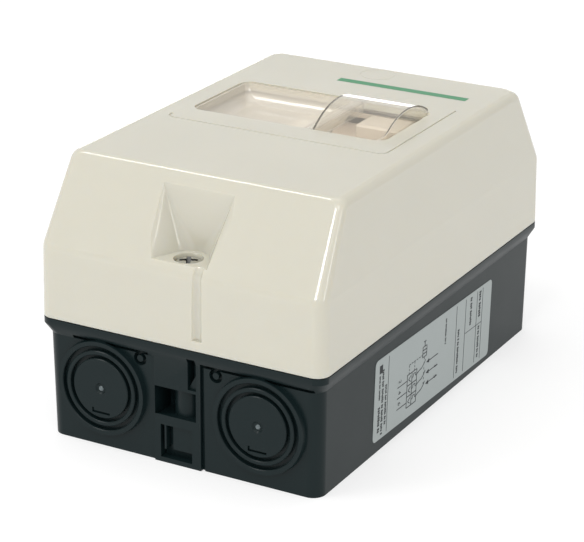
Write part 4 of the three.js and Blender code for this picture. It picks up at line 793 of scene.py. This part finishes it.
def build_film(material):
    x0, x1 = grown(WINDOW_X, -FILM_GAP)
    y0, y1 = grown(WINDOW_Y, -FILM_GAP)
    radius = WINDOW_CORNER - FILM_GAP

    def plan(inset):
        return rounded_block((DOME_LEFT_X - radius, x1 - inset), (y0 + inset, y1 - inset),
                             radius - inset, FLANGE_Z - 1, TOP_Z + 7)

    film = rounded_block(grown(WINDOW_X, FLANGE_WIDTH), grown(WINDOW_Y, FLANGE_WIDTH),
                         WINDOW_CORNER, FLANGE_Z, FLANGE_Z + 1)
    dome = common(prism("yz", dome_outline(0), (DOME_LEFT_X, x1)), plan(0))
    round_edges(dome, DOME_ROUNDING, segments=5)
    join(
        film, dome, rounded_block((x0, x1), (y0, y1), radius, FLANGE_Z, FILM_RIM_Z),
        tray(FILM, FILM_RIM_Z),
    )
    dome_hollow = common(
        prism("yz", dome_outline(FILM), (DOME_LEFT_X + FILM, x1 - FILM)), plan(FILM),
    )
    round_edges(dome_hollow, DOME_ROUNDING - FILM, segments=5)
    cut(
        film, dome_hollow,
        tray(0, TOP_Z + 1),
        block((TRAY_RIGHT_X + 2 * FILM, DOME_LEFT_X - FILM), (y0 + FILM, y1 - FILM),
              (FLANGE_Z - 1, FILM_RIM_Z - FILM)),
        *(rod(PEG_RADIUS + GAP, (FLANGE_Z - 1, ROOF_Z), (x, y, 0), sides=PEG_ROUND)
          for x, y in peg_places()),
    )
    round_edges(film, FILM_ROUNDING, segments=3)
    shade_smooth(film)
    finish_piece(film, "window_film", material, "window_clear", "cover_body", "window_membrane")


# ------------ cover screws

THREAD_PITCH = 0.7
THREAD_LENGTH = 9.0
ROOT_RADIUS = 1.64
TIP_RADIUS = 1.1
RECESS_REACH = 3.1
SCREW_TURN = math.radians(28)  # how far the recess is turned from the enclosure's axes


def threaded_shank(tip_z, top_z):
    """Shank with a helical thread at its tip, as one skin of closely spaced rings."""
    steps_per_turn = 6
    rings = []
    for step in range(int(THREAD_LENGTH / THREAD_PITCH * steps_per_turn) + 1):
        z = tip_z + step * THREAD_PITCH / steps_per_turn
        ring = []
        for side in range(SHANK_ROUND):
            share = side / SHANK_ROUND
            phase = (step / steps_per_turn - share) % 1
            thread = SHANK_RADIUS - (SHANK_RADIUS - ROOT_RADIUS) * abs(2 * phase - 1)
            radius = min(thread, TIP_RADIUS + (z - tip_z))
            ring.append((*polar(radius, 2 * math.pi * share), z))
        rings.append(ring)
    neck_z = tip_z + THREAD_LENGTH + 0.3
    neck = [circle(ROOT_RADIUS, z, SHANK_ROUND) for z in (neck_z, top_z)]
    return loft([*rings, *neck])


def cross_recess(top_z):
    """A cross recess that narrows downwards, with a pointed foot."""
    arm = []
    for z, reach, half in ((top_z + 0.5, RECESS_REACH, 0.72), (top_z - 1.9, 1.1, 0.4)):
        arm += [(x, y, z) for x in (-reach, reach) for y in (-half, half)]
    centre = turned([(1.35, top_z + 0.5), (1.0, top_z - 1.7), (0.05, top_z - 2.3)], sides=16)
    return [hull(arm), hull([(-y, x, z) for x, y, z in arm]), centre]


def build_screw(end, sign, material, recess_shade_material):
    tip, top = SCREW_LOW.z, SCREW_HIGH.z
    head = turned([
        (1.5, HEAD_SEAT_Z), (HEAD_RADIUS - 0.25, HEAD_SEAT_Z), (HEAD_RADIUS, HEAD_SEAT_Z + 0.3),
        (HEAD_RADIUS, top - 0.95), (HEAD_RADIUS - 0.12, top - 0.7),
        (HEAD_RADIUS - 0.45, top - 0.42), (HEAD_RADIUS * 0.72, top - 0.16),
        (HEAD_RADIUS * 0.45, top - 0.03), (0.02, top),
    ])
    screw = join(head, threaded_shank(tip, HEAD_SEAT_Z + 0.5))
    cut(screw, *cross_recess(top))
    place = Matrix.Translation((0, sign * SCREW_Y * MM, 0))
    screw.data.transform(place @ Matrix.Rotation(SCREW_TURN, 4, "Z"))
    shade_smooth(screw)
    finish_piece(
        screw, f"cross_head_screw_{end}", material, "zinc", f"screw_{end}_body",
        f"cover_screw_{end}",
    )
    # The faces inside the cross recess get a much darker metal: painted shade in the recess.
    screw.data.materials.append(recess_shade_material)
    for polygon in screw.data.polygons:
        x, y, z = polygon.center / MM
        from_axis = math.hypot(x, y - sign * SCREW_Y)
        if from_axis < RECESS_REACH and top - 2.4 < z < top - 0.25:
            polygon.material_index = 1


# ------------ label and printing

LABEL_HALF = (40.0, 12.8)  # along and up
LABEL_CORNER = 1.6
LABEL_MIDDLE = (0.9, 15.5)  # Y and Z of the label's middle
LABEL_TILT = math.radians(-1.35)
LABEL_THICKNESS = 0.12
INK = 0.05


def on_label(s, t, lift):
    """A place on the tilted label: s along it from the near end, t up from its lower edge."""
    a, b = s - LABEL_HALF[0], t - LABEL_HALF[1]
    y = LABEL_MIDDLE[0] + a * math.cos(LABEL_TILT) - b * math.sin(LABEL_TILT)
    z = LABEL_MIDDLE[1] + a * math.sin(LABEL_TILT) + b * math.cos(LABEL_TILT)
    wall = BASE_HALF[0] - BASE_DRAFT * (1 - z / (CHAMFER_FOOT_Z + 1))
    return (wall + lift, y, z)


def build_label(material):
    outline = [(x + LABEL_HALF[0], y + LABEL_HALF[1])
               for x, y, _ in rounded_ring(LABEL_HALF, LABEL_CORNER, 0)]
    plate = loft([[on_label(s, t, lift) for s, t in outline] for lift in (0.005, LABEL_THICKNESS)])
    finish_piece(plate, "rating_label", material, "enclosure_anthracite", "enclosure")


class Drawing:
    """Flat ink shapes on the label, gathered into one mesh."""

    def __init__(self):
        self.points, self.faces = [], []

    def patch(self, corners):
        self.faces += loft_faces(len(corners), 2, first=len(self.points))
        for lift in (LABEL_THICKNESS - 0.02, LABEL_THICKNESS + INK):
            self.points += [on_label(s, t, lift) for s, t in corners]

    def bar(self, s, t):
        self.patch([(s[0], t[0]), (s[1], t[0]), (s[1], t[1]), (s[0], t[1])])

    def line(self, start, end, width=0.22):
        a, b = Vector(start), Vector(end)
        across = (b - a).orthogonal().normalized() * (width / 2)
        self.patch([tuple(p) for p in (a - across, b - across, b + across, a + across)])

    def path(self, points, width):
        for start, end in zip(points, points[1:]):
            self.line(start, end, width)

    def dashes(self, start, end, dash=0.9, gap=0.7):
        a, b = Vector(start), Vector(end)
        along = (b - a).normalized()
        place = 0
        while place < (b - a).length:
            stop = min(place + dash, (b - a).length)
            self.line(a + along * place, a + along * stop)
            place += dash + gap

    def small_print(self, s, t, height, words=(5, 3, 7, 2, 6, 4)):
        """A line of letter-sized strokes down the label, in place of small print."""
        letter, gap = 0.42 * height, 0.16 * height
        place, count, word = t[1], 0, 0
        while place - letter > t[0]:
            rise = (0, 0.18, 0.05, 0.22, 0)[count % 5] * height
            fall = (0.05, 0, 0.2, 0, 0.1, 0)[count % 6] * height
            self.bar((s - height / 2 + fall, s + height / 2 - rise), (place - letter, place))
            place -= letter + gap
            count += 1
            if count == words[word % len(words)]:
                count, word = 0, word + 1
                place -= 2.5 * gap


POLE_T = (12.1, 8.6, 5.1)  # heights of the diagram's three poles on the label
POLE_HALF = 1.75
MAGNETIC_S = (21.3, 24.4)  # the release boxes' ends
THERMAL_S = (24.4, 27.6)
FIGURE_SIZE = 2.3


def draw_pole(ink, t):
    """One pole of the wiring diagram: terminal, magnetic and thermal releases, switch blade."""
    ink.line((14.9, t), (MAGNETIC_S[0], t))
    low, high = t - POLE_HALF, t + POLE_HALF
    for s0, s1 in (MAGNETIC_S, THERMAL_S):
        ink.path([(s0, low), (s1, low), (s1, high), (s0, high), (s0, low)], 0.24)
    ink.path([(23.6, t + 0.9), (22.2, t), (23.6, t - 0.9)], 0.24)
    ink.path([(24.4, t), (25.3, t), (25.3, t + 0.9), (26.7, t + 0.9), (26.7, t), (27.6, t)], 0.2)
    ink.path([(27.6, t), (29.2, t + 0.5), (31.0, t + 0.8), (32.2, t + 1.5), (33.4, t + 2.7)], 0.26)
    ink.patch([(34.0, t + 1.5), (35.9, t + 0.8), (35.9, t + 2.2)])
    ink.line((35.5, t + 1.5), (42.0, t + 1.5))


def draw_diagram(ink):
    for t in POLE_T:
        draw_pole(ink, t)
    link_t = 16.8
    ink.dashes((22.4, link_t), (31.2, link_t))
    for s in (22.4, 26.0):
        ink.dashes((s, POLE_T[0] + POLE_HALF), (s, link_t), 0.6, 0.5)
    ink.dashes((32.4, POLE_T[2] + 2), (32.4, 16.0), 0.7, 0.9)
    for t in (16.0, 17.1, 18.2):
        ink.path([(31.2, t), (33.9, t), (33.9, t + 1.1), (31.2, t + 1.1), (31.2, t)], 0.24)
    ink.line((32.5, 19.3), (32.5, 20.9), 0.28)
    ink.line((31.8, 20.9), (33.2, 20.9), 0.28)


def draw_rules(ink):
    for s in (8.5, 54.4, 61.0, 69.3, 73.4):
        ink.line((s, 1.0), (s, 24.7), 0.16)
    ink.line((61.0, 13.4), (73.4, 13.4), 0.16)


def draw_words(ink):
    ink.bar((2.7, 4.6), (20.9, 23.4))
    for line in (
        (3.1, (12.6, 20.2), 0.8),
        (3.1, (2.4, 10.4), 1.3, (8, 4)),
        (5.1, (1.2, 21.6), 1.1),
        (7.2, (3.2, 16.2), 1.0),
        (47.0, (14.6, 23.2), 0.8, (3, 9)),
        (56.4, (1.6, 16.4), 1.1, (4, 1, 2, 9)),
        (64.9, (14.6, 24.2), 1.2, (2, 3, 8, 1)),
        (71.4, (14.4, 24.2), 1.4, (4, 6)),
        (71.4, (1.8, 12.6), 1.1, (2, 2, 6)),
    ):
        ink.small_print(*line)


def terminal_figures():
    """Meshes of the terminals' numbers beside the diagram's poles, reading down the label."""
    figures = []
    for numbers, s in (((2, 4, 6), 15.6), ((1, 3, 5), 39.8)):
        for number, t in zip(numbers, POLE_T):
            curve = bpy.data.curves.new("terminal_number", "FONT")
            curve.body = str(number)
            curve.size = FIGURE_SIZE
            curve.align_x = "CENTER"
            text = linked("terminal_number", curve)
            figure = evaluated_mesh(text)
            bpy.data.objects.remove(text)
            for vertex in figure.vertices:
                x, y, _ = vertex.co
                vertex.co = Vector(on_label(s + y, t + 1.6 - x, LABEL_THICKNESS + INK)) * MM
            figures.append(figure)
    return figures


def build_print(material):
    ink = Drawing()
    draw_diagram(ink)
    draw_rules(ink)
    draw_words(ink)
    piece = new_object("label_print", ink.points, ink.faces)
    work = bmesh.new()
    work.from_mesh(piece.data)
    for figure in terminal_figures():
        work.from_mesh(figure)
    work.to_mesh(piece.data)
    work.free()
    finish_piece(piece, "label_print", material, "enclosure_anthracite", "enclosure")


STRIPE_X = (-10.0, 34.2)
STRIPE_Y = (39.5, 42.5)


def build_stripe(material):
    stripe = rounded_block(STRIPE_X, STRIPE_Y, 0.15, TOP_Z - 0.02, TOP_Z + INK)
    finish_piece(stripe, "cover_stripe", material, "enclosure_cream", "cover_body")


# ------------ materials

def node_material(name):
    material = bpy.data.materials.new(name)
    material.use_nodes = True
    return material, material.node_tree, material.node_tree.nodes["Principled BSDF"]


def set_inputs(node, values):
    for socket, value in values.items():
        node.inputs[socket].default_value = value


def add_node(tree, kind, values):
    node = tree.nodes.new("ShaderNode" + kind)
    set_inputs(node, values)
    return node


def add_noise(tree, scale, detail=2.0, stretch=(1, 1, 1)):
    """Noise in object space; scale is in cycles per metre."""
    place = add_node(tree, "TexCoord", {})
    mapping = add_node(tree, "Mapping", {"Scale": stretch})
    noise = add_node(tree, "TexNoise", {"Scale": scale, "Detail": detail})
    tree.links.new(place.outputs["Object"], mapping.inputs["Vector"])
    tree.links.new(mapping.outputs["Vector"], noise.inputs["Vector"])
    return noise.outputs["Fac"]


def vary_color(tree, shader, factor, color, variation):
    mix = add_node(tree, "Mix", {})
    mix.data_type = "RGBA"
    dark = [c * (1 - variation) for c in color]
    light = [min(1, c * (1 + variation)) for c in color]
    for name, value in (("A", dark), ("B", light)):
        socket = next(s for s in mix.inputs if s.name == name and s.type == "RGBA")
        socket.default_value = (*value, 1)
    tree.links.new(factor, mix.inputs["Factor"])
    result = next(s for s in mix.outputs if s.type == "RGBA")
    tree.links.new(result, shader.inputs["Base Color"])


def vary_roughness(tree, shader, factor, roughness, variation):
    span = add_node(tree, "MapRange", {
        "From Min": 0.3, "From Max": 0.7,
        "To Min": roughness - variation, "To Max": roughness + variation,
    })
    tree.links.new(factor, span.inputs["Value"])
    tree.links.new(span.outputs["Result"], shader.inputs["Roughness"])


def add_bump(tree, height, distance, strength=0.5):
    bump = add_node(tree, "Bump", {"Strength": strength, "Distance": distance * MM})
    tree.links.new(height, bump.inputs["Height"])
    return bump.outputs["Normal"]


def moulded_plastic(name, color, roughness, grain_mm=0.35, grain_depth=0.01, variation=0.02,
                    specular=0.5, translucency=0.0):
    """Injection-moulded plastic: fine eroded grain, slight clouds of colour and gloss."""
    material, tree, shader = node_material(name)
    set_inputs(shader, {
        "Specular IOR Level": specular, "Subsurface Weight": translucency,
        "Subsurface Radius": (1.0, 0.8, 0.55), "Subsurface Scale": 4 * MM,
    })
    cloud = add_noise(tree, 40, 4)
    vary_color(tree, shader, cloud, color, variation)
    vary_roughness(tree, shader, cloud, roughness, 0.03)
    grain = add_bump(tree, add_noise(tree, 1 / (grain_mm * MM)), grain_depth)
    tree.links.new(grain, shader.inputs["Normal"])
    return material


SCRATCH_DEPTH = 0.004


def plated_metal(name, color, roughness, brush=(1, 1, 1)):
    """Plated or drawn metal: stretched fine scratches and a dull cloud over the gloss."""
    material, tree, shader = node_material(name)
    shader.inputs["Metallic"].default_value = 1.0
    vary_color(tree, shader, add_noise(tree, 300, 3), color, 0.07)
    vary_roughness(tree, shader, add_noise(tree, 500, 4), roughness, 0.07)
    scratches = add_bump(tree, add_noise(tree, 4000, 3, brush), SCRATCH_DEPTH)
    tree.links.new(scratches, shader.inputs["Normal"])
    return material


TRAY_HAZE = 0.55
DOME_HAZE = 0.08


def clear_film(name):
    """Thin clear plastic that lets light through to what is under it; its tray is hazier."""
    material, tree, haze = node_material(name)
    links = tree.links
    vary_color(tree, haze, add_noise(tree, 60, 3), (0.80, 0.75, 0.66), 0.03)
    haze.inputs["Roughness"].default_value = 0.1
    waves = add_bump(tree, add_noise(tree, 90, 1), 0.5, 0.4)
    links.new(waves, haze.inputs["Normal"])
    glass = add_node(tree, "BsdfGlass", {
        "Color": (0.99, 0.985, 0.97, 1), "Roughness": 0.02, "IOR": 1.48,
    })
    clear = add_node(tree, "BsdfTransparent", {"Color": (0.97, 0.965, 0.95, 1)})
    rays = add_node(tree, "LightPath", {})
    place = add_node(tree, "TexCoord", {})
    axes = add_node(tree, "SeparateXYZ", {})
    hazy = add_node(tree, "MapRange", {
        "From Min": TRAY_RIGHT_X * MM, "From Max": DOME_LEFT_X * MM,
        "To Min": TRAY_HAZE, "To Max": DOME_HAZE,
    })
    links.new(place.outputs["Object"], axes.inputs["Vector"])
    links.new(axes.outputs["X"], hazy.inputs["Value"])
    surface = glass.outputs["BSDF"]
    for factor, over in (
        (hazy.outputs["Result"], haze.outputs["BSDF"]),
        (rays.outputs["Is Shadow Ray"], clear.outputs["BSDF"]),
    ):
        mix = add_node(tree, "MixShader", {})
        links.new(factor, mix.inputs["Fac"])
        links.new(surface, mix.inputs[1])
        links.new(over, mix.inputs[2])
        surface = mix.outputs["Shader"]
    links.new(surface, tree.nodes["Material Output"].inputs["Surface"])
    return material


def build_materials():
    return {
        "enclosure_cream": moulded_plastic(
            "cream_plastic", (0.56, 0.54, 0.455), 0.16, 0.4, 0.004, 0.012,
            specular=0.8, translucency=0.35,
        ),
        "enclosure_anthracite": moulded_plastic(
            "anthracite_plastic", (0.006, 0.013, 0.014), 0.34, 0.3, 0.012, specular=0.17,
        ),
        "frame_beige": moulded_plastic("beige_plastic", (0.45, 0.38, 0.30), 0.45),
        "housing_grey": moulded_plastic("housing_plastic", (0.055, 0.06, 0.064), 0.55),
        "nose_beige": moulded_plastic("nose_plastic", (0.52, 0.44, 0.36), 0.42),
        "button_ivory": moulded_plastic("button_plastic", (0.56, 0.49, 0.405), 0.35, 0.5, 0.004),
        "mechanism_white": moulded_plastic("mechanism_plastic", (0.68, 0.66, 0.61), 0.42),
        "seal_rubber": moulded_plastic("black_rubber", (0.012, 0.012, 0.012), 0.8, 0.6, 0.03),
        "zinc": plated_metal("zinc_plate", (0.62, 0.62, 0.60), 0.2),
        # Dark metal for the screws' cross recesses: painted shade in the recesses.
        "recess": plated_metal("recess_painted_shade", (0.12, 0.12, 0.115), 0.42),
        "copper": plated_metal("copper_bar", (0.82, 0.42, 0.26), 0.3, (0.2, 0.02, 0.2)),
        "steel": plated_metal("spring_steel", (0.42, 0.43, 0.44), 0.36),
        "window_clear": clear_film("clear_film"),
    }


# ------------ inner parts

OWN_PIECES = (
    "base_box", "cover", "window_membrane", "cover_screw_front", "cover_screw_rear",
    "start_button_spring",
)
EDGE_ROUNDING = {
    "breaker_front_nose": 0.45, "start_button": 0.5, "stop_button": 0.5, "setting_dial": 0.25,
    "breaker_upper_housing": 0.35, "breaker_lower_housing": 0.35, "window_retaining_frame": 0.25,
}
SMALL_ROUNDING = 0.15
LOOKS_SLOT = {"breaker_upper_housing": "nose_beige"}  # all that shows under the window is beige


def softened_copy(node, source):
    """A copy of a node's solid with its edges rounded.

    Each flat area is made one face first, so that a rounded edge keeps an even width.
    """
    mesh = source.data.copy()
    work = bmesh.new()
    work.from_mesh(mesh)
    bmesh.ops.remove_doubles(work, verts=work.verts, dist=0.002 * MM)
    merge_flat(work, 0.5)
    work.to_mesh(mesh)
    work.free()
    piece = linked(node, mesh)
    round_edges(piece, EDGE_ROUNDING.get(node, SMALL_ROUNDING), segments=2, angle=40)
    shade_smooth(piece)
    return piece


def build_inner_parts(materials):
    for node, source in frame["nodes"].items():
        if node in OWN_PIECES:
            continue
        slot = LOOKS_SLOT.get(node, source.data.materials[0].name)
        finish_piece(
            softened_copy(node, source), f"{node}_part", materials[slot], slot,
            source["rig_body"], node,
        )


def build_spring(material):
    """The start button's return spring, as a coil of round wire."""
    wire = 0.45
    coils = 5
    outer = (SPRING_HIGH.x - SPRING_LOW.x) / 2
    middle = (SPRING_LOW + SPRING_HIGH) / 2
    height = SPRING_HIGH.z - SPRING_LOW.z
    steps = 24 * coils
    curve = bpy.data.curves.new("spring", "CURVE")
    curve.dimensions = "3D"
    curve.bevel_depth = wire * MM
    curve.bevel_resolution = 3
    spline = curve.splines.new("POLY")
    spline.points.add(steps)
    for step, point in enumerate(spline.points):
        share = step / steps
        x, y = polar(outer - wire, 2 * math.pi * coils * share)
        rise = wire + (height - 2 * wire) * (share - math.sin(4 * math.pi * share) / (16 * math.pi))
        place = Vector((middle.x + x, middle.y + y, SPRING_LOW.z + rise))
        point.co = (*(place * MM), 1)
    coil = linked("coil", curve)
    mesh = evaluated_mesh(coil)
    bpy.data.objects.remove(coil)
    mesh.shade_smooth()
    spring = linked("spring", mesh)
    body = frame["nodes"]["start_button_spring"]["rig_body"]
    finish_piece(spring, "start_return_spring", material, "steel", body, "start_button_spring")
    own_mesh(spring)


# ------------ camera and light

AZIMUTH = math.radians(28.87)
ELEVATION = math.radians(21.49)
ROLL = math.radians(0.368)
DISTANCE = 0.6885  # this and the next three lengths are in metres
AIM_Z = 0.040
OFFSET = (-0.00339, -0.00456)  # sideways and upwards
LIGHT_DISTANCE = 1.4
LENS = 139.25
SENSOR_WIDTH = 36
LIGHTS = (  # name, direction from the object, size in metres, power in watts
    ("front", (0.08, -0.82, 0.61), (0.25, 0.25), 3.6),
    ("key", (0.43, -0.56, 0.71), (0.4, 0.4), 1.6),
    ("crest", (-0.45, -0.45, 0.77), (0.5, 0.3), 4.5),
    ("top", (0.0, 0.2, 0.98), (0.9, 0.9), 2.4),
    ("back", (-0.45, 0.88, 0.1), (1.0, 0.26), 2.0),
    ("right", (0.87, -0.335, 0.34), (0.12, 0.4), 0.9),
)
WORLD_STRENGTH = 0.74
STAGE_GLOW = 0.56
STAGE_HALF = 4000
STAGE_Z = -0.05


def build_camera():
    level = math.cos(ELEVATION)
    back = Vector((math.sin(AZIMUTH) * level, -math.cos(AZIMUTH) * level, math.sin(ELEVATION)))
    level_right = (-back).cross(Vector((0, 0, 1))).normalized()
    level_up = level_right.cross(-back)
    right = math.cos(ROLL) * level_right + math.sin(ROLL) * level_up
    up = -math.sin(ROLL) * level_right + math.cos(ROLL) * level_up
    place = Vector((0, 0, AIM_Z)) + back * DISTANCE
    place += right * OFFSET[0] + up * OFFSET[1]
    data = bpy.data.cameras.new("camera")
    data.lens = LENS
    data.sensor_width = SENSOR_WIDTH
    data.clip_start = 0.05
    camera = linked("camera", data)
    matrix = Matrix((right, up, back)).transposed().to_4x4()
    matrix.translation = place
    camera.matrix_world = matrix
    SCENE.camera = camera


def area_light(name, toward, size, power):
    """A softbox aimed at the object from a direction, at a fixed distance."""
    data = bpy.data.lights.new(name, "AREA")
    data.shape = "RECTANGLE"
    data.size, data.size_y = size
    data.energy = power
    light = linked(name, data)
    toward = Vector(toward).normalized()
    light.location = Vector((0, 0, AIM_Z)) + toward * LIGHT_DISTANCE
    light.rotation_euler = (-toward).to_track_quat("-Z", "Y").to_euler()


def build_stage():
    world = bpy.data.worlds.new("studio")
    SCENE.world = world
    world.use_nodes = True
    set_inputs(
        world.node_tree.nodes["Background"], {"Color": (1, 1, 1, 1), "Strength": WORLD_STRENGTH},
    )
    corners = [(x * STAGE_HALF, y * STAGE_HALF, STAGE_Z)
               for x, y in ((-1, -1), (1, -1), (1, 1), (-1, 1))]
    floor = new_object("floor", corners, [(0, 1, 2, 3)])
    material, tree, shader = node_material("floor_pale")
    vary_color(tree, shader, add_noise(tree, 3), (0.45, 0.45, 0.45), 0.005)
    set_inputs(shader, {
        "Roughness": 0.9, "Emission Color": (1, 1, 1, 1), "Emission Strength": STAGE_GLOW,
    })
    floor.data.materials.append(material)
    for light in LIGHTS:
        area_light(*light)


# ------------ assembly

build_camera()
build_stage()
SCENE.view_settings.view_transform = "Standard"

MATERIALS = build_materials()
build_cover(MATERIALS["enclosure_cream"])
build_base(MATERIALS["enclosure_anthracite"])
# The gate stubs' paler plastic is a painted glint.
build_gate_stubs(moulded_plastic("glint_painted_plastic", (0.10, 0.125, 0.13), 0.3, 0.2, 0.05, 0.3))
build_film(MATERIALS["window_clear"])
for screw_end, screw_sign in (("front", -1), ("rear", 1)):
    build_screw(screw_end, screw_sign, MATERIALS["zinc"], MATERIALS["recess"])
build_label(moulded_plastic("label_foil", (0.31, 0.345, 0.34), 0.38, 1.2, 0.01))
build_print(moulded_plastic("label_ink", (0.012, 0.015, 0.018), 0.5, 0.5, 0.004, specular=0.25))
build_stripe(moulded_plastic("green_ink", (0.03, 0.22, 0.09), 0.4, 0.5, 0.004, specular=0.3))
build_inner_parts(MATERIALS)
build_spring(MATERIALS["steel"])
